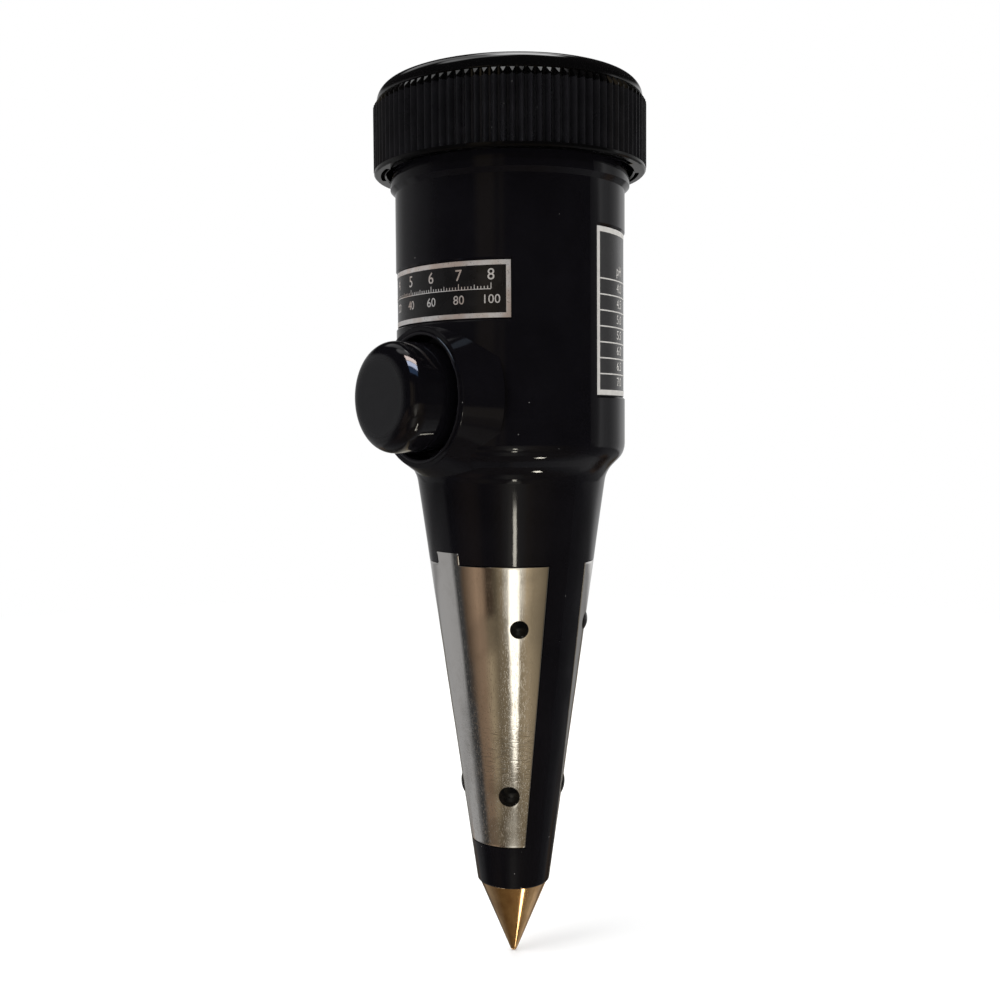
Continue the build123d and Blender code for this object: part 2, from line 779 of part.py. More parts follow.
with BuildPart() as ribs:
    with BuildSketch(Plane.XY.offset(bezel_z)):
        with PolarLocations(0, RIB_COUNT):
            Polygon(
                (rib_root_r, -rib_root_half_w),
                (bezel_r, -RIB_CREST_W / 2),
                (bezel_r, RIB_CREST_W / 2),
                (rib_root_r, rib_root_half_w),
                align=None,
            )
    extrude(amount=rib_top_z - bezel_z)
    with BuildSketch(Plane.XZ):
        with BuildLine():
            Polyline(
                (rib_root_r, bezel_z),
                (bezel_core_r, bezel_z),
                (bezel_r + SEAT, bezel_z + rib_past_crest * RIB_FOOT_SLOPE),
                (bezel_r + SEAT, rib_top_z - rib_past_crest * RIB_TOP_SLOPE),
                (bezel_core_r, rib_top_z),
                (rib_root_r, rib_top_z),
                close=True,
            )
        make_face()
    revolve(axis=Axis.Z, mode=Mode.INTERSECT)

with BuildPart() as bezel_ring:
    with BuildSketch(Plane.XZ) as bezel_section:
        with BuildLine():
            Polyline(
                (skirt_bore_r, bezel_z),
                (bezel_core_r, bezel_z),
                (bezel_core_r, rim_foot_z),
                (bezel_rim_r, rim_foot_z),
                (bezel_rim_r, top_z),
                (bezel_lip_r + BEZEL_LIP_BEVEL, top_z),
                (bezel_lip_r, top_z - BEZEL_LIP_BEVEL),
                (bezel_lip_r, window_top_z),
                (window_r + SEAT, window_top_z),
                (window_r + SEAT, window_seat_z),
                (skirt_bore_r, window_seat_z),
                close=True,
            )
        make_face()
        corners = bezel_section.vertices()
        fillet(corners.sort_by_distance((bezel_rim_r, top_z))[0], BEZEL_RIM_ROUND)
    revolve(axis=Axis.Z)
    add(ribs.part)
    with BuildSketch(Plane.XY.offset(bezel_z)):
        with PolarLocations(0, POCKET_COUNT, start_angle=POCKET_START):
            SlotArc(
                CenterArc((0, 0), pocket_r, -POCKET_ANGLE / 2, POCKET_ANGLE, mode=Mode.PRIVATE),
                POCKET_W,
            )
    extrude(amount=POCKET_DEPTH, mode=Mode.SUBTRACT)
    add(bezel_ridge)
bezel_ring.part.label = "bezel_ring"
export_step(bezel_ring.part, "parts/bezel_ring.step")

with BuildPart() as window:
    with Locations((0, 0, window_z)):
        Cylinder(window_r, WINDOW_T - FIT, align=up)
    chamfer(window.edges().filter_by(GeomType.CIRCLE), WINDOW_EDGE)
window.part.label = "window"
export_step(window.part, "parts/window.step")

with BuildPart() as window_gasket:
    with BuildSketch(Plane.XY.offset(neck_top_z)):
        Circle(neck_r - TURN_GAP)
        Circle(neck_r - TURN_GAP - GASKET_W, mode=Mode.SUBTRACT)
    extrude(amount=GASKET_T)
window_gasket.part.label = "window_gasket"
export_step(window_gasket.part, "parts/window_gasket.step")

# Meter movement: levels above and below the dial

frame_r = barrel_bore_r - TURN_GAP
frame_bore_r = frame_r - FRAME_WALL
pivot_y = YOKE_R + YOKE_WALL_GAP - frame_bore_r
pivot_center = (0, pivot_y)
yoke_top_z = dial_z - YOKE_BELOW_DIAL
yoke_z = yoke_top_z - YOKE_H
core_top_z = yoke_top_z - CORE_SHORT
core_z = yoke_z + CORE_SHORT
former_half = CORE_R + COIL_CORE_GAP
loop_top_z = core_top_z + COIL_CORE_GAP
loop_z = core_z - COIL_CORE_GAP
coil_top_z = loop_top_z + FORMER_T + WINDING_T
coil_z = loop_z - FORMER_T - WINDING_T
pointer_z = dial_top_z + POINTER_ABOVE_DIAL
upper_spring_z = pointer_z + POINTER_T + HAIRSPRING_LIFT
upper_bridge_z = upper_spring_z + HAIRSPRING_H + HAIRSPRING_LIFT
lower_spring_z = coil_z - HUB_H - HAIRSPRING_LIFT - HAIRSPRING_H
lower_bridge_top_z = lower_spring_z - HAIRSPRING_LIFT
lower_bridge_z = lower_bridge_top_z - STOCK_BRIDGE_T
frame_floor_z = lower_bridge_z - FLOOR_CLEARANCE
frame_bottom_z = frame_floor_z - FRAME_FLOOR_T
flange_r = neck_bore_r - LOOSE
pillar_out = (YOKE_R + YOKE_BORE_R) / 2
hairspring_outer_r = HAIRSPRING_INNER_R + HAIRSPRING_PITCH * HAIRSPRING_TURNS
post_angles = (90, 210, 330)
post_spots = [polar(pillar_out, a, pivot_y) for a in post_angles]
pillar_spots = [(-pillar_out, pivot_y), (pillar_out, pivot_y)]
dial_screw_out = frame_bore_r - DIAL_SCREW_INSET
dial_screw_spots = [polar(dial_screw_out, 270 + side * DIAL_SCREW_ANGLE) for side in (-1, 1)]
terminal_spots = [(-TERMINAL_X, TERMINAL_Y), (TERMINAL_X, TERMINAL_Y)]


def at_height(spots, z):
    return [(x, y, z) for x, y in spots]


with BuildPart() as meter_frame:
    with BuildSketch(Plane.XZ):
        with BuildLine():
            Polyline(
                (0, frame_bottom_z),
                (frame_r, frame_bottom_z),
                (frame_r, ledge_z),
                (flange_r, ledge_z),
                (flange_r, dial_z),
                (frame_bore_r, dial_z),
                (frame_bore_r, frame_floor_z),
                (0, frame_floor_z),
                close=True,
            )
        make_face()
    revolve(axis=Axis.Z)
    with Locations(*at_height(post_spots, frame_floor_z)):
        Cylinder(POST_R, yoke_z - frame_floor_z, align=up)
    with Locations(*at_height(dial_screw_spots, dial_z)):
        Cylinder(DIAL_BOSS_R, DIAL_BOSS_H, align=down)
        Cylinder(DIAL_SCREW_R + FIT, DIAL_BOSS_H, align=down, mode=Mode.SUBTRACT)
    with Locations(*at_height(terminal_spots, frame_floor_z)):
        Cylinder(TERMINAL_R + FIT, 3 * FRAME_FLOOR_T, mode=Mode.SUBTRACT)
meter_frame.part.label = "meter_frame"
export_step(meter_frame.part, "parts/meter_frame.step")

with BuildPart() as meter_terminals:
    with Locations(*at_height(terminal_spots, frame_bottom_z)):
        Cylinder(TERMINAL_FLANGE_R, TERMINAL_FLANGE_T, align=down)
        Cylinder(TERMINAL_R, FRAME_FLOOR_T + TERMINAL_FLANGE_T, align=up)
        Cylinder(TERMINAL_PIN_R, TERMINAL_PIN_H, align=down)
meter_terminals.part.label = "meter_terminals"
export_step(meter_terminals.part, "parts/meter_terminals.step")

with BuildPart() as yoke_ring:
    with BuildSketch(Plane.XY.offset(yoke_z)):
        with Locations(pivot_center):
            Circle(YOKE_R)
            Circle(YOKE_BORE_R, mode=Mode.SUBTRACT)
    extrude(amount=YOKE_H)
yoke_ring.part.label = "yoke_ring"
export_step(yoke_ring.part, "parts/yoke_ring.step")

with BuildPart() as core_magnet:
    with BuildSketch(Plane.XY.offset(core_z)):
        with Locations(pivot_center):
            Circle(CORE_R)
    extrude(amount=core_top_z - core_z)
core_magnet.part.label = "core_magnet"
export_step(core_magnet.part, "parts/core_magnet.step")

with BuildPart() as core_stays:
    with BuildSketch(Plane.XY.offset((core_z + core_top_z - CORE_STAY_H) / 2)):
        with Locations(pivot_center):
            Circle(YOKE_BORE_R - FIT)
            Circle(CORE_R + FIT, mode=Mode.SUBTRACT)
            Rectangle(2 * YOKE_R, CORE_STAY_W, mode=Mode.INTERSECT)
    extrude(amount=CORE_STAY_H)
core_stays.part.label = "core_stays"
export_step(core_stays.part, "parts/core_stays.step")

# Bridges that carry the jewel bearings, on pillars above and below the yoke

bridge_length = 2 * (pillar_out + STOCK_BRIDGE_OVERHANG)
bridge_stock = {
    "upper_bridge": (upper_bridge_z, upper_bridge_z, -1),
    "lower_bridge": (lower_bridge_z, lower_bridge_top_z, 1),
}
stud_out = hairspring_outer_r + HAIRSPRING_STRIP / 2 + STUD_POST_R + FIT
for bridge_name, (low_z, face_z, toward) in bridge_stock.items():
    with BuildPart() as bridge:
        with BuildSketch(Plane.XY.offset(low_z)):
            with Locations(pivot_center):
                SlotOverall(bridge_length, STOCK_BRIDGE_W)
                Circle(JEWEL_R + FIT, mode=Mode.SUBTRACT)
            with Locations(*pillar_spots):
                Circle(SMALL_SCREW_R + FIT, mode=Mode.SUBTRACT)
        extrude(amount=STOCK_BRIDGE_T)
        with Locations((stud_out, pivot_y, face_z)):
            Cylinder(
                STUD_POST_R,
                HAIRSPRING_LIFT + HAIRSPRING_H,
                align=down if toward < 0 else up,
            )
    bridge.part.label = bridge_name
    export_step(bridge.part, f"parts/{bridge_name}.step")

with BuildPart() as bridge_pillars:
    for low_z, high_z, screw_z, bore in (
        (yoke_top_z, upper_bridge_z, upper_bridge_z, down),
        (lower_bridge_top_z, yoke_z, lower_bridge_top_z, up),
    ):
        with Locations(*at_height(pillar_spots, low_z)):
            Cylinder(PILLAR_R, high_z - low_z, align=up)
        with Locations(*at_height(pillar_spots, screw_z)):
            Cylinder(SMALL_SCREW_R + FIT, SMALL_SCREW_GRIP, align=bore, mode=Mode.SUBTRACT)
bridge_pillars.part.label = "bridge_pillars"
export_step(bridge_pillars.part, "parts/bridge_pillars.step")

with BuildPart() as bridge_screws:
    shank = STOCK_BRIDGE_T + SMALL_SCREW_GRIP - SEAT
    for seat_z, head, body in (
        (upper_bridge_z + STOCK_BRIDGE_T, up, down),
        (lower_bridge_z, down, up),
    ):
        with Locations(*at_height(pillar_spots, seat_z)):
            Cylinder(SMALL_SCREW_HEAD_R, SMALL_SCREW_HEAD_H, align=head)
            Cylinder(SMALL_SCREW_R, shank, align=body)
bridge_screws.part.label = "bridge_screws"
export_step(bridge_screws.part, "parts/bridge_screws.step")

# Jewel screws: each holds the end of a pivot in a small cup

upper_jewel_top_z = upper_bridge_z + STOCK_BRIDGE_T + JEWEL_STANDS_OUT
lower_jewel_z = lower_bridge_z - JEWEL_STANDS_OUT
upper_cup_z = upper_jewel_top_z - JEWEL_H
lower_cup_z = lower_jewel_z + JEWEL_H

with BuildPart() as jewel_screws:
    for end_z, body, cup_z, cup in (
        (upper_jewel_top_z, down, upper_cup_z, up),
        (lower_jewel_z, up, lower_cup_z, down),
    ):
        with Locations((0, pivot_y, end_z)):
            Cylinder(JEWEL_R, JEWEL_H, align=body)
            Box(2 * JEWEL_R, JEWEL_SLOT_W, 2 * JEWEL_SLOT_DEPTH, mode=Mode.SUBTRACT)
        with Locations((0, pivot_y, cup_z)):
            Cylinder(PIVOT_R + RUN, JEWEL_CUP, align=cup, mode=Mode.SUBTRACT)
jewel_screws.part.label = "jewel_screws"
export_step(jewel_screws.part, "parts/jewel_screws.step")

# Moving coil, its pivots, pointer, weights and hairsprings, drawn with the pointer at rest

rest = math.radians(REST_ANGLE)
coil_plane = Plane(
    origin=(0, pivot_y, 0),
    x_dir=(math.cos(rest), math.sin(rest), 0),
    z_dir=(math.sin(rest), -math.cos(rest), 0),
)
loop_mid_z = (loop_z + loop_top_z) / 2
loop_h = loop_top_z - loop_z


def coil_loop(inner_half, inner_h, wall):
    """Upright rectangular loop round the core, in the plane of the coil."""
    with BuildPart() as loop:
        with BuildSketch(coil_plane):
            with Locations((0, loop_mid_z)):
                RectangleRounded(2 * (inner_half + wall), inner_h + 2 * wall, wall)
                Rectangle(2 * inner_half, inner_h, mode=Mode.SUBTRACT)
        extrude(amount=COIL_W / 2, both=True)
    return loop.part


with BuildPart() as coil_former:
    add(coil_loop(former_half, loop_h, FORMER_T))
coil_former.part.label = "coil_former"
export_step(coil_former.part, "parts/coil_former.step")

with BuildPart() as coil_winding:
    add(coil_loop(former_half + FORMER_T, loop_h + 2 * FORMER_T, WINDING_T))
coil_winding.part.label = "coil_winding"
export_step(coil_winding.part, "parts/coil_winding.step")

with BuildPart() as upper_pivot:
    shoulder_end_z = upper_cup_z - LOOSE
    with Locations((0, pivot_y, coil_top_z)):
        Cylinder(HUB_R, HUB_H, align=up)
        Cylinder(SHAFT_R, shoulder_end_z - coil_top_z, align=up)
    with Locations((0, pivot_y, upper_spring_z)):
        Cylinder(COLLET_R, HAIRSPRING_H, align=up)
    with Locations((0, pivot_y, shoulder_end_z)):
        Cylinder(PIVOT_R, LOOSE + JEWEL_CUP - PIVOT_END_GAP, align=up)
upper_pivot.part.label = "upper_pivot"
export_step(upper_pivot.part, "parts/upper_pivot.step")

with BuildPart() as lower_pivot:
    shoulder_end_z = lower_cup_z + LOOSE
    with Locations((0, pivot_y, coil_z)):
        Cylinder(HUB_R, HUB_H, align=down)
        Cylinder(SHAFT_R, coil_z - shoulder_end_z, align=down)
    with Locations((0, pivot_y, lower_spring_z)):
        Cylinder(COLLET_R, HAIRSPRING_H, align=up)
    with Locations((0, pivot_y, shoulder_end_z)):
        Cylinder(PIVOT_R, LOOSE + JEWEL_CUP - PIVOT_END_GAP, align=down)
lower_pivot.part.label = "lower_pivot"
export_step(lower_pivot.part, "parts/lower_pivot.step")

pointer_plane = Plane(
    origin=(0, pivot_y, pointer_z), x_dir=(math.cos(rest), math.sin(rest), 0), z_dir=(0, 0, 1)
)
weight_spots = [(-POINTER_TAIL, 0, 0), (0, -POINTER_ARM, 90), (0, POINTER_ARM, 90)]

with BuildPart() as pointer:
    with BuildSketch(pointer_plane):
        with BuildLine():
            Polyline(
                (-POINTER_TAIL, -POINTER_ROOT_W / 2),
                (0, -POINTER_ROOT_W / 2),
                (POINTER_LENGTH, -POINTER_TIP_W / 2),
                (POINTER_LENGTH, POINTER_TIP_W / 2),
                (0, POINTER_ROOT_W / 2),
                (-POINTER_TAIL, POINTER_ROOT_W / 2),
                close=True,
            )
        make_face()
        Rectangle(POINTER_ROOT_W, 2 * POINTER_ARM)
        Circle(POINTER_HUB_R)
        Circle(SHAFT_R + FIT, mode=Mode.SUBTRACT)
    extrude(amount=POINTER_T)
pointer.part.label = "pointer"
export_step(pointer.part, "parts/pointer.step")

with BuildPart() as balance_weights:
    for x, y, turn in weight_spots:
        along = (math.cos(math.radians(turn)), math.sin(math.radians(turn)), 0)
        spot = pointer_plane.from_local_coords(Vector(x, y, -WEIGHT_R - FIT))
        heading = pointer_plane.from_local_coords(Vector(*along)) - pointer_plane.origin
        with Locations(Plane(origin=spot, z_dir=heading)):
            Cylinder(WEIGHT_R, WEIGHT_L)
balance_weights.part.label = "balance_weights"
export_step(balance_weights.part, "parts/balance_weights.step")

hairspring_levels = {"upper_hairspring": upper_spring_z, "lower_hairspring": lower_spring_z}
for spring_name, low_z in hairspring_levels.items():
    with BuildPart() as hairspring:
        with BuildSketch(Plane.XY.offset(low_z)):
            with BuildLine(Plane.XY.offset(low_z)):
                for half in range(2 * HAIRSPRING_TURNS):
                    radius = HAIRSPRING_INNER_R + HAIRSPRING_PITCH * (2 * half + 1) / 4
                    shift = HAIRSPRING_PITCH / 4 * (-1 if half % 2 == 0 else 1)
                    CenterArc((shift, pivot_y), radius, 180 * half, 180)
            trace(line_width=HAIRSPRING_STRIP)
        extrude(amount=HAIRSPRING_H)
    hairspring.part.label = spring_name
    export_step(hairspring.part, f"parts/{spring_name}.step")
print(f"hairsprings, least gap between turns {HAIRSPRING_PITCH - HAIRSPRING_STRIP:.2f} mm")

# Dial, its screws, the pointer stops and the spacer that clamps the dial

stop_turn = math.degrees((STOP_R + POINTER_ROOT_W / 2 + SEAT) / STOP_OUT)
stop_angles = (REST_ANGLE + stop_turn, REST_ANGLE - SWING - stop_turn)
stop_spots = [polar(STOP_OUT, a, pivot_y) for a in stop_angles]

with BuildPart() as dial_plate:
    with BuildSketch(Plane.XY.offset(dial_z)):
        Circle(flange_r)
        with Locations(pivot_center):
            SlotOverall(bridge_length, DIAL_SLOT_W, mode=Mode.SUBTRACT)
        with Locations(*dial_screw_spots):
            Circle(DIAL_SCREW_R + FIT, mode=Mode.SUBTRACT)
        with Locations(*stop_spots):
            Circle(STOP_R + FIT, mode=Mode.SUBTRACT)
    extrude(amount=DIAL_T)
dial_plate.part.label = "dial_plate"
export_step(dial_plate.part, "parts/dial_plate.step")

with BuildPart() as pointer_stops:
    with Locations(*at_height(stop_spots, dial_z)):
        Cylinder(STOP_R, DIAL_T + STOP_H, align=up)
pointer_stops.part.label = "pointer_stops"
export_step(pointer_stops.part, "parts/pointer_stops.step")

with BuildPart() as dial_screws:
    with Locations(*at_height(dial_screw_spots, dial_top_z)):
        Cylinder(DIAL_SCREW_HEAD_R, DIAL_SCREW_HEAD_H, align=up)
        Cylinder(DIAL_SCREW_R, DIAL_T + DIAL_BOSS_H - LOOSE, align=down)
    with Locations(*at_height(dial_screw_spots, dial_top_z + DIAL_SCREW_HEAD_H)):
        Box(
            2 * DIAL_SCREW_HEAD_R,
            DIAL_SCREW_SLOT_W,
            2 * DIAL_SCREW_SLOT_DEPTH,
            mode=Mode.SUBTRACT,
        )
dial_screws.part.label = "dial_screws"
export_step(dial_screws.part, "parts/dial_screws.step")

with BuildPart() as spacer_ring:
    with BuildSketch(Plane.XY.offset(dial_top_z)):
        Circle(flange_r)
        Circle(flange_r - SPACER_W, mode=Mode.SUBTRACT)
    extrude(amount=SPACER_H)
spacer_ring.part.label = "spacer_ring"
export_step(spacer_ring.part, "parts/spacer_ring.step")

# Circuit board, its screws, resistors, switch contacts and leads

contact_face = bridge_in - BUTTON_TRAVEL - FIT
contact_y = -contact_face
contact_mid = CONTACT_IN + CONTACT_W / 2
contact_spots = [(-contact_mid, contact_y), (contact_mid, contact_y)]

with BuildPart() as circuit_board:
    with BuildSketch(Plane.XY.offset(board_z)):
        Circle(barrel_bore_r - BOARD_EDGE_GAP)
        with Locations(*standoff_spots):
            Circle(BOARD_SCREW_R + FIT, mode=Mode.SUBTRACT)
        with Locations(*[(x, y + CONTACT_T / 2) for x, y in contact_spots]):
            Rectangle(CONTACT_PIN_W + SEAT, CONTACT_T + SEAT, mode=Mode.SUBTRACT)
    extrude(amount=BOARD_T)
circuit_board.part.label = "circuit_board"
export_step(circuit_board.part, "parts/circuit_board.step")

with BuildPart() as board_screws:
    with Locations(*at_height(standoff_spots, board_top_z)):
        Cylinder(BOARD_SCREW_HEAD_R, BOARD_SCREW_HEAD_H, align=up)
        Cylinder(BOARD_SCREW_R, BOARD_T + BOARD_SCREW_L - LOOSE, align=down)
board_screws.part.label = "board_screws"
export_step(board_screws.part, "parts/board_screws.step")

leg_x = RESISTOR_L / 2 + RESISTOR_LEG_OUT
with BuildPart() as resistors:
    for row_y in (*RESISTOR_ROWS, standoff_out - RESISTOR_TO_SCREW):
        body_z = board_top_z + RESISTOR_LIFT
        with Locations((0, row_y, body_z)):
            Cylinder(RESISTOR_R, RESISTOR_L, rotation=(0, 90, 0))
            Cylinder(RESISTOR_LEG_R, 2 * leg_x, rotation=(0, 90, 0))
        with Locations((-leg_x, row_y, board_top_z), (leg_x, row_y, board_top_z)):
            Cylinder(RESISTOR_LEG_R, RESISTOR_LIFT + RESISTOR_LEG_R, align=up)
resistors.part.label = "resistors"
export_step(resistors.part, "parts/resistors.step")

with BuildPart() as switch_contacts:
    for x, y in contact_spots:
        with Locations((x, y, board_z)):
            Box(
                CONTACT_W,
                CONTACT_T,
                board_z - button_z + CONTACT_DROP,
                align=(Align.CENTER, Align.MIN, Align.MAX),
            )
            Box(
                CONTACT_PIN_W,
                CONTACT_T,
                BOARD_T + CONTACT_PIN_H,
                align=(Align.CENTER, Align.MIN, Align.MIN),
            )
switch_contacts.part.label = "switch_contacts"
export_step(switch_contacts.part, "parts/switch_contacts.step")

# Leads inside the housing, each a run of points from its lug, tag or stud to the board

lead_low_z = tab_top_z + FIT
lug_tail_top_z = plug_top_z + LUG_TAIL_RISE + FIT
pin_end_z = frame_bottom_z - TERMINAL_PIN_H - FIT
lead_board_z = board_z - FIT
tag_y = tab_inner_y + LEAD_R
meter_lead_z = board_top_z + FIT
meter_lead_span = pin_end_z - meter_lead_z
lead_routes = {
    "front_lead": [
        (0, -tag_y, lead_low_z),
        (0, -tag_y, lead_low_z + 4),
        (3.0, -tag_y + 0.8, lead_low_z + 9),
        (8.6, -6.4, lead_low_z + 16),
        (10.4, -4.2, lead_low_z + 27),
        (10.2, -3.0, lead_board_z - 5),
        (10.2, -3.0, lead_board_z),
    ],
    "rear_lead": [
        (0, tag_y, lead_low_z),
        (0, tag_y, lead_low_z + 5),
        (-1.4, tag_y + 0.5, lead_low_z + 14),
        (-4.4, 9.2, lead_low_z + 26),
        (-5.0, 8.0, lead_board_z - 6),
        (-5.0, 8.0, lead_board_z),
    ],
    "tip_lead": [
        (lug_tail_x - LUG_T / 2, 0, lug_tail_top_z),
        (lug_tail_x - LUG_T / 2, 0, lug_tail_top_z + 8),
        (5.0, 0.6, lug_tail_top_z + 22),
        (6.2, 1.8, lug_tail_top_z + 39),
        (6.6, 3.4, lug_tail_top_z + 55),
        (8.0, 5.2, lug_tail_top_z + 70),
        (8.0, 6.2, lead_board_z - 7),
        (8.0, 6.2, lead_board_z),
    ],
}
for lead_name, x, bow in (("left_meter_lead", -TERMINAL_X, -0.8), ("right_meter_lead", TERMINAL_X, 0.8)):
    lead_routes[lead_name] = [
        (x, TERMINAL_Y, meter_lead_z),
        (x, TERMINAL_Y, meter_lead_z + 0.24 * meter_lead_span),
        (x + bow, TERMINAL_Y - 0.6, meter_lead_z + 0.5 * meter_lead_span),
        (x, TERMINAL_Y, meter_lead_z + 0.76 * meter_lead_span),
        (x, TERMINAL_Y, pin_end_z),
    ]


def bend_radii(points):
    """Largest even bends: 0.45 of the shorter run, over the tangent of half the turn."""
    spots = [Vector(*p) for p in points]
    radii = []
    for before, here, after in zip(spots, spots[1:], spots[2:]):
        run_in = here - before
        run_out = after - here
        turn = math.radians(run_in.get_angle(run_out))
        radii.append(0.45 * min(run_in.length, run_out.length) / math.tan(turn / 2))
    return radii


for lead_name, route in lead_routes.items():
    radii = bend_radii(route)
    with BuildPart() as lead:
        with BuildLine() as lead_line:
            FilletPolyline(*route, radius=radii)
        with BuildSketch(Plane(origin=lead_line.line @ 0, z_dir=lead_line.line % 0)):
            Circle(LEAD_R)
        sweep(path=lead_line.line)
    lead.part.label = lead_name
    export_step(lead.part, f"parts/{lead_name}.step")
    print(f"{lead_name}, bends of {', '.join(f'{r:.0f}' for r in radii)} mm")
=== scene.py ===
"""Soil pH and moisture meter: its finishes, printed marks, modelled surfaces, studio and camera.

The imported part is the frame. Sizes here are in millimetres and become metres as a mesh is made.
"""

import logging
import math
from abc import ABC, abstractmethod
from dataclasses import dataclass, field
from enum import Enum
from typing import Optional, Sequence, Union

import bmesh
import bpy
import numpy as np
from mathutils import Matrix, Vector


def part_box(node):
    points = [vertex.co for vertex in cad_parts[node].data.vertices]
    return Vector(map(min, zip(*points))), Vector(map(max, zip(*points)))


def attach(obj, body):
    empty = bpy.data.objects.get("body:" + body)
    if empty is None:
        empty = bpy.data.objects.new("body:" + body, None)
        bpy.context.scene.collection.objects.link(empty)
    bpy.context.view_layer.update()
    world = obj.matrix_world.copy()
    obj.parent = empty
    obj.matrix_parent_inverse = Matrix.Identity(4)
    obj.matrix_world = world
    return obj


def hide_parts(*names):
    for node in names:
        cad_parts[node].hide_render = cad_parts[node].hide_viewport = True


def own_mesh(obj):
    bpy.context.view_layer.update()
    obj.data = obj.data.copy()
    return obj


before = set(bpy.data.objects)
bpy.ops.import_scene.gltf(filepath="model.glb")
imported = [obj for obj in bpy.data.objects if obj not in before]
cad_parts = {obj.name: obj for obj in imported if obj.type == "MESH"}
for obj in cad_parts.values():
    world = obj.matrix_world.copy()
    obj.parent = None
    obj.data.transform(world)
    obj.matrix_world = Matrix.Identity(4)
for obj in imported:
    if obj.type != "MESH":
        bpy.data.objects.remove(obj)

LOG = logging.getLogger("soil_meter")
MM = 0.001
MICRON = 0.000001
TINY = 1e-6
MERGE_GAP = 1e-7  # points of a mesh that lie closer, in metres, become one
FULL_TURN = 2 * math.pi
BUTTON_Z = 103.7  # height of the button's axis over the end of the point
PRINT_ANGLE = 30.0  # printed marks stay sharp at edges that turn by more degrees

Pair = tuple[float, float]
Triple = tuple[float, float, float]
Color = Triple
Socket = bpy.types.NodeSocket
Value = Union[float, Color, Socket]
Patch = tuple[np.ndarray, np.ndarray]


class Body(Enum):
    """Bodies of the part that pieces ride on."""

    CASE = "case"
    BUTTON = "button"
    POINTER = "pointer_group"
    WINDOW = "window_group"
    BEZEL = "bezel"


class Grain(Enum):
    """How a metal surface was worked, as stretch factors of its fine lines along X, Y and Z."""

    BRUSHED_UPRIGHT = (1.0, 1.0, 0.03)
    TURNED = (0.02, 0.02, 1.0)
    ROLLED = (0.06, 1.0, 1.0)
    CAST = (1.0, 1.0, 1.0)


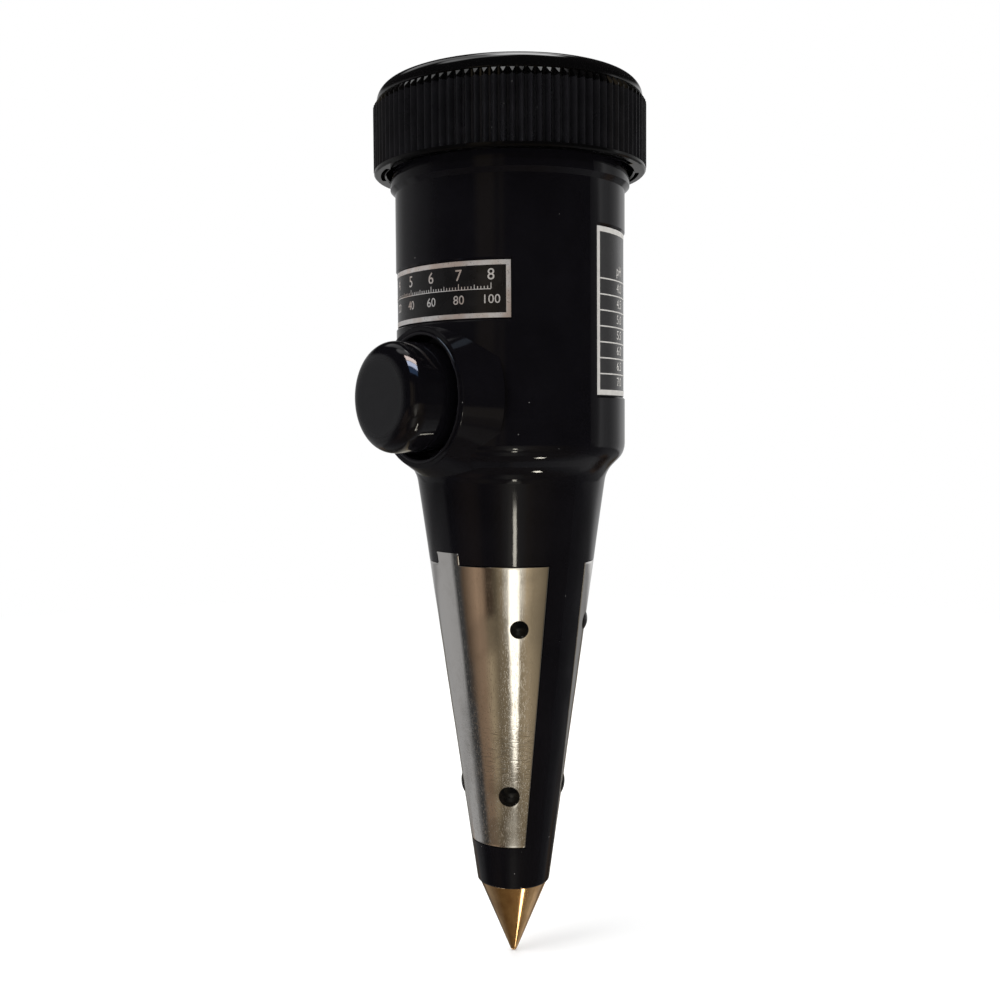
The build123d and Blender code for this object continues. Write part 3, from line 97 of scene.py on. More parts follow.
class ShaderTree:
    """Nodes of one material, added and linked with short calls."""

    def __init__(self, name: str) -> None:
        """Starts a material that holds one Principled shader.

        Args:
            name: name of the material.
        """
        self.material = bpy.data.materials.new(name)
        self.material.use_nodes = True
        self.nodes = self.material.node_tree.nodes
        self.links = self.material.node_tree.links
        self.nodes.clear()
        self.output = self.nodes.new("ShaderNodeOutputMaterial")
        self.shader = self.nodes.new("ShaderNodeBsdfPrincipled")
        self.links.new(self.shader.outputs[0], self.output.inputs["Surface"])

    def feed(self, socket: Socket, value: Value) -> None:
        """Links a socket, or sets it where the value is a number or a colour.

        Args:
            socket: input to feed.
            value: number, colour or output socket.
        """
        if isinstance(value, bpy.types.NodeSocket):
            self.links.new(value, socket)
        elif isinstance(value, tuple):
            socket.default_value = (*value, 1.0)[: len(socket.default_value)]
        else:
            socket.default_value = value

    def put(self, name: str, value: Value) -> None:
        """Feeds one input of the Principled shader."""
        self.feed(self.shader.inputs[name], value)

    def add(self, kind: str, **inputs: Value) -> bpy.types.Node:
        """Adds a node and feeds its inputs, named with underscores for spaces.

        Args:
            kind: type of the node.
            inputs: value of each input.

        Returns:
            The node.
        """
        node = self.nodes.new(kind)
        for name, value in inputs.items():
            self.feed(node.inputs[name.replace("_", " ")], value)
        return node

    def place(self, stretch: Sequence[float] = (1, 1, 1), turn: Sequence[float] = (0, 0, 0)) -> Socket:
        """Object coordinates, stretched and turned.

        Args:
            stretch: factor on each coordinate; under 1 draws a pattern out along it.
            turn: turn about each axis, in degrees.

        Returns:
            The vector socket.
        """
        coordinates = self.nodes.new("ShaderNodeTexCoord")
        mapping = self.nodes.new("ShaderNodeMapping")
        mapping.inputs["Scale"].default_value = stretch
        mapping.inputs["Rotation"].default_value = [math.radians(a) for a in turn]
        self.links.new(coordinates.outputs["Object"], mapping.inputs["Vector"])
        return mapping.outputs["Vector"]

    def axis(self, name: str) -> Socket:
        """One Object coordinate, X, Y or Z, in metres."""
        split = self.add("ShaderNodeSeparateXYZ", Vector=self.place())
        return split.outputs[name]

    def from_button(self) -> Socket:
        """Distance from the button's axis in metres: the root of X squared plus rise squared.

        Returns:
            The distance socket.
        """
        rise = self.math("SUBTRACT", self.axis("Z"), BUTTON_Z * MM)
        squares = [self.math("POWER", part, 2.0) for part in (self.axis("X"), rise)]
        return self.math("SQRT", self.math("ADD", *squares))

    def noise(self, vector: Socket, size: float, detail: float = 3.0, rough: float = 0.55) -> Socket:
        """Cloudy noise from 0 to 1.

        Args:
            vector: place on the piece.
            size: size of a blob in millimetres.
            detail: number of finer layers.
            rough: strength of the finer layers.

        Returns:
            The noise socket.
        """
        node = self.add(
            "ShaderNodeTexNoise", Vector=vector, Scale=1 / (size * MM), Detail=detail, Roughness=rough
        )
        return node.outputs["Fac"]

    def math(self, operation: str, first: Value, second: Value = 0.0, third: Value = 0.0) -> Socket:
        """One Math node.

        Args:
            operation: the node's operation.
            first: first value.
            second: second value.
            third: third value.

        Returns:
            The result socket.
        """
        node = self.nodes.new("ShaderNodeMath")
        node.operation = operation
        for socket, value in zip(node.inputs, (first, second, third)):
            self.feed(socket, value)
        return node.outputs[0]

    def span(self, value: Socket, low: float, high: float, to_low: float, to_high: float) -> Socket:
        """Value carried from one range to another and held at its ends.

        Args:
            value: value to carry.
            low: start of its range.
            high: end of its range.
            to_low: result at the start.
            to_high: result at the end.

        Returns:
            The result socket.
        """
        node = self.add(
            "ShaderNodeMapRange", Value=value, From_Min=low, From_Max=high, To_Min=to_low, To_Max=to_high
        )
        return node.outputs["Result"]

    def rise(self, place: Socket, start: float, end: float) -> Socket:
        """Mask along a coordinate: 0 up to the start and 1 from the end on, both in millimetres."""
        return self.span(place, start * MM, end * MM, 0.0, 1.0)

    def fall(self, place: Socket, start: float, end: float) -> Socket:
        """Mask along a coordinate: 1 up to the start and 0 from the end on, both in millimetres."""
        return self.span(place, start * MM, end * MM, 1.0, 0.0)

    def uneven(self, noise: Socket, least: float, most: float, reach: Pair = (0.3, 0.7)) -> Socket:
        """Value that runs from a least to a most as noise runs over the middle of its range."""
        return self.span(noise, *reach, least, most)

    def clouds(
        self,
        vector: Socket,
        size: float,
        reach: Pair,
        most: float = 1.0,
        detail: float = 4.0,
        rough: float = 0.55,
    ) -> Socket:
        """Mask of soft clouds, cut from noise.

        Args:
            vector: place on the piece.
            size: size of a cloud in millimetres.
            reach: noise at which a cloud starts, and from which on it is whole.
            most: strength of a whole cloud.
            detail: number of finer layers in the noise.
            rough: strength of the finer layers.

        Returns:
            The mask socket, 0 to the most.
        """
        return self.span(self.noise(vector, size, detail, rough), *reach, 0.0, most)

    def mix(self, factor: Value, first: Value, second: Value) -> Socket:
        """Colour between two colours.

        Args:
            factor: share of the second colour.
            first: first colour.
            second: second colour.

        Returns:
            The colour socket.
        """
        node = self.nodes.new("ShaderNodeMix")
        node.data_type = "RGBA"
        for place, value in ((0, factor), (6, first), (7, second)):
            self.feed(node.inputs[place], value)
        return node.outputs[2]

    def ramp(self, factor: Socket, stops: Sequence[tuple[float, Color]]) -> Socket:
        """Colour ramp through these stops.

        Args:
            factor: place along the ramp, 0 to 1.
            stops: place and colour of each stop, in order.

        Returns:
            The colour socket.
        """
        node = self.add("ShaderNodeValToRGB", Fac=factor)
        elements = node.color_ramp.elements
        while len(elements) < len(stops):
            elements.new(1.0)
        for element, (position, color) in zip(elements, stops):
            element.position = position
            element.color = (*color, 1.0)
        return node.outputs["Color"]

    def specks(self, vector: Socket, spacing: float, size: float, share: float) -> Socket:
        """Mask of small specks, at most one in each cell of an uneven grid.

        Args:
            vector: place on the piece.
            spacing: size of a cell in millimetres.
            size: radius of a speck in millimetres.
            share: share of the cells with a speck.

        Returns:
            The mask socket, 0 or 1.
        """
        cells = self.add("ShaderNodeTexVoronoi", Vector=vector, Scale=1 / (spacing * MM))
        near = self.math("LESS_THAN", cells.outputs["Distance"], size / spacing)
        split = self.add("ShaderNodeSeparateColor", Color=cells.outputs["Color"])
        chosen = self.math("LESS_THAN", split.outputs[0], share)
        return self.math("MULTIPLY", near, chosen)

    def scratches(self, turn: Sequence[float], width: float, share: float) -> Socket:
        """Mask of long thin marks: drawn-out noise, kept only where it peaks.

        Args:
            turn: turn of the marks about each axis, in degrees.
            width: width of a mark in millimetres.
            share: how far under the peak of the noise a mark reaches.

        Returns:
            The mask socket, 0 to 1.
        """
        drawn = self.place(stretch=(1.0, 1.0, 0.035), turn=turn)
        return self.clouds(drawn, width, reach=(0.86 - share, 0.9 - share), detail=1.0)

    def relief(self, *layers: tuple[Socket, float]) -> None:
        """Bumps the surface by each layer of height.

        Args:
            layers: height socket of each layer, and its depth in micrometres.
        """
        normal: Optional[Socket] = None
        for height, depth in layers:
            node = self.add("ShaderNodeBump", Strength=1.0, Distance=depth * MICRON, Height=height)
            if normal is not None:
                self.links.new(normal, node.inputs["Normal"])
            normal = node.outputs["Normal"]
        self.put("Normal", normal)


@dataclass(frozen=True)
class Finish(ABC):
    """One surface finish, made once and shared by the pieces that wear it."""

    name: str

    def material(self) -> bpy.types.Material:
        """The finish's material, made at its first use.

        Returns:
            The material.
        """
        title = f"{self.name}_finish"
        found = bpy.data.materials.get(title)
        if found is not None:
            return found
        tree = ShaderTree(title)
        self.paint(tree)
        return tree.material

    @abstractmethod
    def paint(self, tree: ShaderTree) -> None:
        """Builds the finish's nodes."""


def lighter(color: Color, factor: float) -> Color:
    """Colour multiplied by a factor and held under white."""
    return tuple(min(1.0, c * factor) for c in color)


@dataclass(frozen=True)
class MouldedPlastic(Finish):
    """Moulded plastic: soft waviness from the mould, faint smears and a few dust specks."""

    color: Color
    roughness: float
    wave_depth: float = 4.0
    grain_depth: float = 0.25
    dust: float = 0.0
    shine: float = 1.5
    dust_color: Color = (0.16, 0.155, 0.15)

    def paint(self, tree: ShaderTree) -> None:
        """Clouded colour, smeared gloss, mould waves and fine grain.

        Args:
            tree: nodes of the material.
        """
        here = tree.place()
        cloud = tree.clouds(here, size=8.0, reach=(0.35, 0.7))
        color = tree.mix(cloud, self.color, lighter(self.color, 1.35))
        if self.dust:
            color = tree.mix(tree.specks(here, 1.1, 0.1, self.dust), color, self.dust_color)
        tree.put("Base Color", color)
        smear = tree.noise(tree.place(stretch=(1, 1, 0.4)), size=3.5, detail=5.0, rough=0.65)
        gloss = tree.uneven(smear, 0.8 * self.roughness, 1.35 * self.roughness, reach=(0.3, 0.72))
        tree.put("Roughness", gloss)
        tree.put("IOR", self.shine)
        waves = tree.noise(here, size=2.6, detail=1.5)
        tree.relief((waves, self.wave_depth), (tree.noise(here, size=0.09), self.grain_depth))


@dataclass(frozen=True)
class CasePlastic(MouldedPlastic):
    """Moulded plastic of the case, with painted light in the button's well: its colour is lightened where the
    well lies in shade.
    """

    # Lighter colour painted into the well as light against its shade
    well_dust: Color = (0.02, 0.019, 0.022)
    well_r: float = 11.3
    well_y: Pair = (-21.0, -13.0)

    def paint(self, tree: ShaderTree) -> None:
        """Lays painted light, a lighter colour, over the moulded colour inside the well's radius and depth.

        Args:
            tree: nodes of the material.
        """
        super().paint(tree)
        y = tree.axis("Y")
        mouth, floor = self.well_y
        inside = tree.fall(tree.from_button(), self.well_r, self.well_r + 0.08)
        past_mouth = tree.rise(y, mouth - 0.5, mouth + 0.5)
        before_floor = tree.fall(y, floor - 1.0, floor)
        # Mask of the well's inside, where painted light lightens the shaded recess
        dust = tree.math("MULTIPLY", tree.math("MULTIPLY", inside, past_mouth), before_floor)
        moulded_colour = tree.shader.inputs["Base Color"].links[0].from_socket
        tree.put("Base Color", tree.mix(dust, moulded_colour, self.well_dust))


@dataclass(frozen=True)
class RibbedPlastic(Finish):
    """Black ring: a polished rim over ribs that hands have dulled and dusted."""

    rim_color: Color = (0.0017, 0.0016, 0.0017)
    rib_color: Color = (0.0082, 0.008, 0.0092)
    dust_color: Color = (0.16, 0.157, 0.153)
    dull_under: float = 155.7
    plain_under: float = 144.8
    rim_roughness: float = 0.06
    rib_roughness: float = 0.3
    shine: float = 1.2
    rim_polish: float = 0.62

    def paint(self, tree: ShaderTree) -> None:
        """Masks the ribs between foot and rim for dust and wear, and coats the rim with polish.

        Args:
            tree: nodes of the material.
        """
        here, z = tree.place(), tree.axis("Z")
        over_foot = tree.rise(z, self.plain_under - 0.02, self.plain_under + 0.02)
        under_rim = tree.fall(z, self.dull_under - 0.1, self.dull_under + 0.1)
        ribs = tree.math("MULTIPLY", over_foot, under_rim)
        rim = tree.math("SUBTRACT", over_foot, ribs)
        cloud = tree.clouds(here, size=4.0, reach=(0.35, 0.7))
        worn = tree.mix(cloud, self.rib_color, lighter(self.rib_color, 1.5))
        dusty = tree.mix(tree.specks(here, 0.9, 0.1, 0.045), worn, self.dust_color)
        tree.put("Base Color", tree.mix(ribs, self.rim_color, dusty))
        smear = tree.noise(here, size=3.0, detail=5.0, rough=0.65)
        even = tree.span(ribs, 0.0, 1.0, self.rim_roughness, self.rib_roughness)
        gloss = tree.math("MULTIPLY", tree.uneven(smear, 0.8, 1.3, reach=(0.3, 0.72)), even)
        tree.put("Roughness", gloss)
        tree.put("IOR", self.shine)
        tree.put("Coat Weight", tree.math("MULTIPLY", rim, self.rim_polish))
        tree.put("Coat Roughness", self.rim_roughness)
        tree.relief((tree.noise(here, size=2.6, detail=1.5), 3.0), (tree.noise(here, size=0.09), 0.4))
        tree.put("Coat Normal", tree.shader.inputs["Normal"].links[0].from_socket)


@dataclass(frozen=True)
class ButtonPlastic(Finish):
    """Black button: a polished side and a spark-textured flat face, whose lighter colour is partly the
    texture's own grey and partly painted sheen.
    """

    color: Color = (0.0026, 0.0024, 0.0032)
    # Face colour: partly the textured face's own grey, partly painted sheen
    face_color: Color = (0.0069, 0.0068, 0.008)
    dust_color: Color = (0.12, 0.12, 0.12)
    face_y: float = -28.6
    face_r: float = 6.5
    face_dulling: float = 0.4
    shine: float = 1.3

    def paint(self, tree: ShaderTree) -> None:
        """Masks the face by its distance from the button's axis and from its front plane.

        Args:
            tree: nodes of the material.
        """
        here = tree.place()
        inside = tree.fall(tree.from_button(), self.face_r - 1.1, self.face_r + 1.2)
        front = tree.fall(tree.axis("Y"), self.face_y - 0.05, self.face_y + 0.05)
        face = tree.math("MULTIPLY", inside, front)
        cloud = tree.clouds(here, size=5.0, reach=(0.35, 0.7), most=0.5)
        plain = tree.mix(cloud, self.color, lighter(self.color, 1.5))
        # The face's lighter colour is partly painted sheen
        color = tree.mix(face, plain, self.face_color)
        tree.put("Base Color", tree.mix(tree.specks(here, 1.4, 0.07, 0.025), color, self.dust_color))
        gloss = tree.uneven(tree.noise(here, size=2.5, detail=4.0), 0.05, 0.09)
        tree.put("Roughness", tree.math("MULTIPLY_ADD", face, self.face_dulling, gloss))
        tree.put("IOR", self.shine)
        tree.relief((tree.noise(here, size=2.4, detail=1.5), 3.0), (tree.noise(here, size=0.12), 0.5))


@dataclass(frozen=True)
class WorkedMetal(Finish):
    """Plain metal with the fine lines of its working, cloudy tarnish and uneven gloss."""

    color: Color
    tarnish: Color
    roughness: float
    grain: Grain = Grain.CAST
    line_depth: float = 0.35
    tarnish_size: float = 4.0

    def paint(self, tree: ShaderTree) -> None:
        """Tarnish clouds over the metal, and lines drawn out along the grain.

        Args:
            tree: nodes of the material.
        """
        here = tree.place()
        cloud = tree.clouds(here, self.tarnish_size, reach=(0.42, 0.72), most=0.75, detail=5.0, rough=0.6)
        tree.put("Base Color", tree.mix(cloud, self.color, self.tarnish))
        tree.put("Metallic", 1.0)
        lines = tree.noise(tree.place(stretch=self.grain.value), size=0.12, detail=4.0, rough=0.7)
        tree.put("Roughness", tree.uneven(lines, 0.8 * self.roughness, 1.3 * self.roughness))
        tree.relief((lines, self.line_depth), (tree.noise(here, size=1.8, detail=2.0), 1.5))


@dataclass(frozen=True)
class ElectrodeMetal(Finish):
    """Bright metal of the electrode plates, with use marks that thicken towards the tip.

    Each slant of scratches has its turn about the axes in degrees, the width of a scratch and its share.
    """

    color: Color = (0.64, 0.62, 0.6)
    dull: Color = (0.4, 0.37, 0.33)
    roughness: float = 0.055
    rubbed_dulling: float = 0.22
    worn_dulling: float = 0.045
    worn_from: float = 64.0
    worn_to: float = 26.0
    dented: Pair = (33.0, 48.0)
    dents_fade: float = 4.0
    slants: tuple[tuple[Triple, float, float], ...] = (
        ((0, 38, 10), 0.16, 0.2),
        ((8, -31, 0), 0.12, 0.19),
        ((0, 7, 0), 0.1, 0.2),
    )

    def paint(self, tree: ShaderTree) -> None:
        """Upright brush lines, shallow dents, and stains, pits and scratches that thicken lower down.

        Args:
            tree: nodes of the material.
        """
        here, z = tree.place(), tree.axis("Z")
        worn = tree.fall(z, self.worn_to, self.worn_from)
        brush = tree.noise(tree.place(stretch=Grain.BRUSHED_UPRIGHT.value), size=0.1, detail=4.0, rough=0.7)
        scratches, *others = [tree.scratches(*slant) for slant in self.slants]
        for other in others:
            scratches = tree.math("MAXIMUM", scratches, other)
        rubbed = tree.math("MULTIPLY", scratches, tree.span(worn, 0.0, 1.0, 0.25, 1.0))
        pits = tree.math("MULTIPLY", tree.specks(here, 0.5, 0.09, 0.3), worn)
        bumps = tree.clouds(tree.place(stretch=(0.6, 0.6, 2.4)), size=1.1, reach=(0.5, 0.75), detail=1.0)
        low, high = self.dented
        over_low = tree.rise(z, low, low + self.dents_fade)
        under_high = tree.fall(z, high - self.dents_fade, high)
        dents = tree.math("MULTIPLY", bumps, tree.math("MULTIPLY", over_low, under_high))
        stain = tree.clouds(here, size=3.0, reach=(0.5, 0.75), most=0.6, detail=6.0, rough=0.65)
        spoiled = tree.math("MULTIPLY", stain, tree.span(worn, 0.0, 1.0, 0.35, 1.0))
        color = tree.mix(spoiled, self.color, self.dull)
        tree.put("Base Color", tree.mix(pits, color, lighter(self.dull, 0.6)))
        tree.put("Metallic", 1.0)
        gloss = tree.uneven(brush, 0.8 * self.roughness, 1.25 * self.roughness)
        rough = tree.math("MULTIPLY_ADD", rubbed, self.rubbed_dulling, gloss)
        tree.put("Roughness", tree.math("MULTIPLY_ADD", worn, self.worn_dulling, rough))
        swell = tree.noise(here, size=5.0, detail=1.0)
        tree.relief((brush, 0.16), (swell, 14.0), (rubbed, 5.0), (pits, -2.5), (dents, -9.0))


@dataclass(frozen=True)
class TurnedBrass(Finish):
    """Brass point: fine turning rings, brown tarnish in patches and a rubbed end."""

    color: Color = (0.76, 0.48, 0.23)
    brown: Color = (0.44, 0.235, 0.09)
    roughness: float = 0.14
    rubbed_under: float = 3.0

    def paint(self, tree: ShaderTree) -> None:
        """Rings about the axis as drawn-out noise, over clouded tarnish that clears at the end.

        Args:
            tree: nodes of the material.
        """
        rings = tree.noise(tree.place(stretch=Grain.TURNED.value), size=0.14, detail=3.0, rough=0.6)
        drawn = tree.place(stretch=(1, 1, 0.6))
        cloud = tree.clouds(drawn, size=3.2, reach=(0.42, 0.7), most=0.85, detail=6.0, rough=0.62)
        clear = tree.span(tree.axis("Z"), 0.0, self.rubbed_under * MM, 0.4, 1.0)
        tree.put("Base Color", tree.mix(tree.math("MULTIPLY", cloud, clear), self.color, self.brown))
        tree.put("Metallic", 1.0)
        tree.put("Roughness", tree.uneven(rings, 0.75 * self.roughness, 1.3 * self.roughness))
        tree.relief((rings, 0.7), (tree.noise(tree.place(), size=0.9, detail=3.0), 2.5))


@dataclass(frozen=True)
class Enamel(Finish):
    """Stoved black print on a thin plate: satin, lightly clouded, with fine rubbing marks."""

    color: Color = (0.0062, 0.0058, 0.006)
    roughness: float = 0.2
    shine: float = 1.32

    def paint(self, tree: ShaderTree) -> None:
        """Clouded black with drawn-out rubbing in its gloss.

        Args:
            tree: nodes of the material.
        """
        here = tree.place()
        cloud = tree.clouds(here, size=3.0, reach=(0.4, 0.7), detail=5.0)
        tree.put("Base Color", tree.mix(cloud, self.color, lighter(self.color, 1.6)))
        rubbed = tree.noise(tree.place(stretch=(1, 1, 0.15)), size=0.5, detail=4.0)
        tree.put("Roughness", tree.uneven(rubbed, 0.8 * self.roughness, 1.4 * self.roughness))
        tree.put("IOR", self.shine)
        tree.relief((tree.noise(here, size=0.5, detail=2.0), 0.5))


@dataclass(frozen=True)
class Ink(Finish):
    """Printed or painted marks: an even colour with a slightly thin, mottled lay."""

    color: Color
    metallic: float = 0.0
    roughness: float = 0.4
    mottle: float = 0.75
    stain: Optional[Color] = None
    stain_size: float = 6.0

    def paint(self, tree: ShaderTree) -> None:
        """Colour thinned in small clouds, and stained in wide ones.

        Args:
            tree: nodes of the material.
        """
        here = tree.place()
        cloud = tree.clouds(here, size=0.8, reach=(0.45, 0.75), detail=5.0, rough=0.65)
        color = tree.mix(cloud, self.color, lighter(self.color, self.mottle))
        if self.stain is not None:
            spread = tree.clouds(here, self.stain_size, reach=(0.42, 0.6), most=0.85, detail=2.0)
            color = tree.mix(spread, color, self.stain)
        tree.put("Base Color", color)
        tree.put("Metallic", self.metallic)
        lay = tree.noise(here, size=0.4, detail=3.0)
        tree.put("Roughness", tree.uneven(lay, 0.85 * self.roughness, 1.2 * self.roughness))
        tree.relief((tree.noise(here, size=0.25, detail=2.0), 0.4))


@dataclass(frozen=True)
class ClearWindow(Finish):
    """Clear acrylic with hairline scratches."""

    roughness: float = 0.015
    shine: float = 1.49

    def paint(self, tree: ShaderTree) -> None:
        """Clear shader with a very shallow relief of hairlines.

        Args:
            tree: nodes of the material.
        """
        tree.put("Base Color", (1.0, 1.0, 1.0))
        tree.put("Transmission Weight", 1.0)
        tree.put("Roughness", self.roughness)
        tree.put("IOR", self.shine)
        drawn = tree.place(stretch=(0.04, 1, 1), turn=(0, 0, 28))
        tree.relief((tree.clouds(drawn, size=0.09, reach=(0.74, 0.8), detail=1.0), 0.12))


@dataclass(frozen=True)
class WoundWire(Finish):
    """Enamelled copper wire laid side by side round the coil."""

    color: Color = (0.62, 0.25, 0.1)
    band: float = 0.756
    wobble: float = 0.4

    def paint(self, tree: ShaderTree) -> None:
        """Bands along Y stand for the turns of wire; the colour darkens between turns as painted shade.

        Args:
            tree: nodes of the material.
        """
        here = tree.place()
        wave = tree.add("ShaderNodeTexWave", Vector=here, Scale=1 / (self.band * MM), Distortion=self.wobble)
        wave.bands_direction = "Y"
        bands = wave.outputs["Fac"]
        # Darker in the bands' troughs, between the turns: painted shade in the grooves, mottled by noise
        tone = tree.math("MULTIPLY", bands, tree.noise(here, size=1.0, detail=3.0))
        tree.put("Base Color", tree.mix(tone, lighter(self.color, 0.45), self.color))
        tree.put("Metallic", 0.85)
        tree.put("Roughness", tree.span(bands, 0.0, 1.0, 0.45, 0.25))
        tree.put("Coat Weight", 0.5)
        tree.relief((bands, 30.0))


@dataclass(frozen=True)
class BoardLaminate(Finish):
    """Brown paper laminate with a faint fibre."""

    color: Color = (0.2, 0.095, 0.035)

    def paint(self, tree: ShaderTree) -> None:
        """Fibres as noise drawn out along X and Y.

        Args:
            tree: nodes of the material.
        """
        along, across = (
            tree.noise(tree.place(stretch=stretch), size=0.3, detail=4.0)
            for stretch in ((0.08, 1, 1), (1, 0.08, 1))
        )
        fibre = tree.math("MAXIMUM", along, across)
        pale = tree.span(fibre, 0.4, 0.75, 0.0, 1.0)
        tree.put("Base Color", tree.mix(pale, self.color, lighter(self.color, 1.7)))
        tree.put("Roughness", tree.span(fibre, 0.35, 0.75, 0.35, 0.55))
        tree.relief((fibre, 4.0))


@dataclass(frozen=True)
class BandedBody(Finish):
    """Resistor body: beige lacquer with colour rings along X, between bare legs.

    The rings' first place, step and width are shares of the body's length.
    """

    color: Color = (0.62, 0.44, 0.24)
    smudge: Color = (0.1, 0.06, 0.03)
    leg_color: Color = (0.7, 0.69, 0.67)
    ring_colors: tuple[Color, ...] = (
        (0.3, 0.02, 0.01),
        (0.02, 0.02, 0.02),
        (0.5, 0.12, 0.01),
        (0.45, 0.3, 0.08),
    )
    half_length: float = 3.25
    first_ring: float = 0.16
    ring_step: float = 0.17
    ring_w: float = 0.07

    def paint(self, tree: ShaderTree) -> None:
        """Rings from a stepped ramp along X, legs left bare metal beyond the body.

        Args:
            tree: nodes of the material.
        """
        here, x = tree.place(), tree.axis("X")
        stops = [(0.0, self.color)]
        for number, ring in enumerate(self.ring_colors):
            start = self.first_ring + self.ring_step * number
            stops += [(start, ring), (start + self.ring_w, self.color)]
        rings = tree.ramp(tree.rise(x, -self.half_length, self.half_length), stops)
        rings.node.color_ramp.interpolation = "CONSTANT"
        leg = tree.math("GREATER_THAN", tree.math("ABSOLUTE", x), (self.half_length + 0.02) * MM)
        cloud = tree.clouds(here, size=0.8, reach=(0.3, 0.7), most=0.3, detail=3.0)
        tree.put("Base Color", tree.mix(leg, tree.mix(cloud, rings, self.smudge), self.leg_color))
        tree.put("Metallic", leg)
        tree.put("Roughness", tree.uneven(tree.noise(here, size=0.6, detail=3.0), 0.25, 0.4))
        tree.relief((tree.noise(here, size=0.5, detail=2.0), 4.0))


HOUSING = CasePlastic("housing_plastic", (0.0034, 0.0031, 0.004), 0.07, dust=0.022, shine=1.2)
BEZEL = RibbedPlastic("bezel_plastic")
BUTTON = ButtonPlastic("button_plastic")
PEG = MouldedPlastic("peg_plastic", (0.0024, 0.0023, 0.0023), 0.14, 10.0, 1.5, dust=0.06, shine=1.25)
ELECTRODE = ElectrodeMetal("electrode_metal")
BRASS_TIP = TurnedBrass("tip_brass")
PLATE_ENAMEL = Enamel("printed_plate")
PLATE_SILVER = Ink("plate_silver", (0.55, 0.53, 0.52), 0.4, 0.3, 0.8, (0.42, 0.33, 0.28))
TABLE_WHITE = Ink("table_white", (0.62, 0.6, 0.565), 0.1, 0.4, 0.85)
DIAL_BLACK = Ink("dial_black", (0.012, 0.012, 0.013), 0.0, 0.5, 1.5)
DIAL_RED = Ink("dial_red", (0.42, 0.018, 0.012), 0.0, 0.5, 0.8)
WINDOW = ClearWindow("window_clear")
RUBBER = MouldedPlastic("rubber_seal", (0.012, 0.012, 0.012), 0.6, 10.0, 6.0, shine=1.45)
DIAL_PAINT = MouldedPlastic("dial_paint", (0.74, 0.74, 0.72), 0.5, 2.0, 1.5)
FRAME_PLASTIC = MouldedPlastic("frame_plastic", (0.045, 0.045, 0.05), 0.4, 6.0, 2.0)
SPACER = MouldedPlastic("spacer_plastic", (0.011, 0.011, 0.012), 0.45, 6.0, 2.0)
MAGNET = WorkedMetal("magnet_iron", (0.28, 0.275, 0.27), (0.15, 0.13, 0.12), 0.5, Grain.CAST, 6.0, 1.0)
YOKE = WorkedMetal("yoke_steel", (0.58, 0.57, 0.55), (0.44, 0.42, 0.37), 0.3, Grain.TURNED, 0.8)
BRIDGE_BRASS = WorkedMetal("bridge_brass", (0.75, 0.56, 0.28), (0.52, 0.36, 0.16), 0.27, Grain.ROLLED, 0.4)
COPPER = WoundWire("winding_copper")
ALLOY = WorkedMetal("light_alloy", (0.78, 0.78, 0.79), (0.62, 0.62, 0.62), 0.33, Grain.ROLLED, 0.4)
POINTER_PAINT = MouldedPlastic("pointer_paint", (0.014, 0.013, 0.013), 0.35, 2.0, 1.0)
SMALL_STEEL = WorkedMetal("small_steel", (0.63, 0.62, 0.6), (0.45, 0.43, 0.4), 0.24, Grain.TURNED, 0.5, 1.5)
BRONZE = WorkedMetal("contact_bronze", (0.66, 0.41, 0.22), (0.4, 0.24, 0.14), 0.28, Grain.ROLLED, 0.5)
LAMINATE = BoardLaminate("board_laminate")
RESISTOR = BandedBody("resistor_body")
LEAD_BLACK = MouldedPlastic("lead_black", (0.012, 0.012, 0.012), 0.38, 8.0, 1.0)
LEAD_RED = MouldedPlastic("lead_red", (0.38, 0.014, 0.012), 0.38, 8.0, 1.0)
LEAD_YELLOW = MouldedPlastic("lead_yellow", (0.6, 0.38, 0.03), 0.38, 8.0, 1.0)


def dress(node: str, finish: Finish) -> None:
    """Puts a finish on every material slot of a CAD node.

    Args:
        node: name of the CAD node.
        finish: finish that it wears.
    """
    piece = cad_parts[node]
    if not piece.material_slots:
        piece.data.materials.append(finish.material())
    for slot in piece.material_slots:
        slot.material = finish.material()
    LOG.info("dressed %s in %s", node, finish.name)


def grid_faces(rows: int, columns: int, wrap_rows: bool = False, wrap_columns: bool = False) -> np.ndarray:
    """Quads of a grid of points.

    Args:
        rows: number of rows.
        columns: number of points in a row.
        wrap_rows: joins the last row to the first.
        wrap_columns: joins the last column to the first.

    Returns:
        Array of four point numbers a quad.
    """
    low = np.arange(rows if wrap_rows else rows - 1)[:, None]
    left = np.arange(columns if wrap_columns else columns - 1)[None, :]
    high, right = (low + 1) % rows, (left + 1) % columns
    quads = (low * columns + left, low * columns + right, high * columns + right, high * columns + left)
    return np.stack([np.broadcast_to(q, (low.size, left.size)) for q in quads], axis=-1).reshape(-1, 4)


def joined(patches: Sequence[Patch]) -> Patch:
    """Several patches as one: points in a row, with each patch's faces shifted to its own points.

    Args:
        patches: patches in order.

    Returns:
        One patch.
    """
    starts = np.cumsum([0] + [len(points) for points, _ in patches[:-1]])
    points = np.concatenate([points for points, _ in patches])
    faces = np.concatenate([faces + start for (_, faces), start in zip(patches, starts)])
    return points, faces


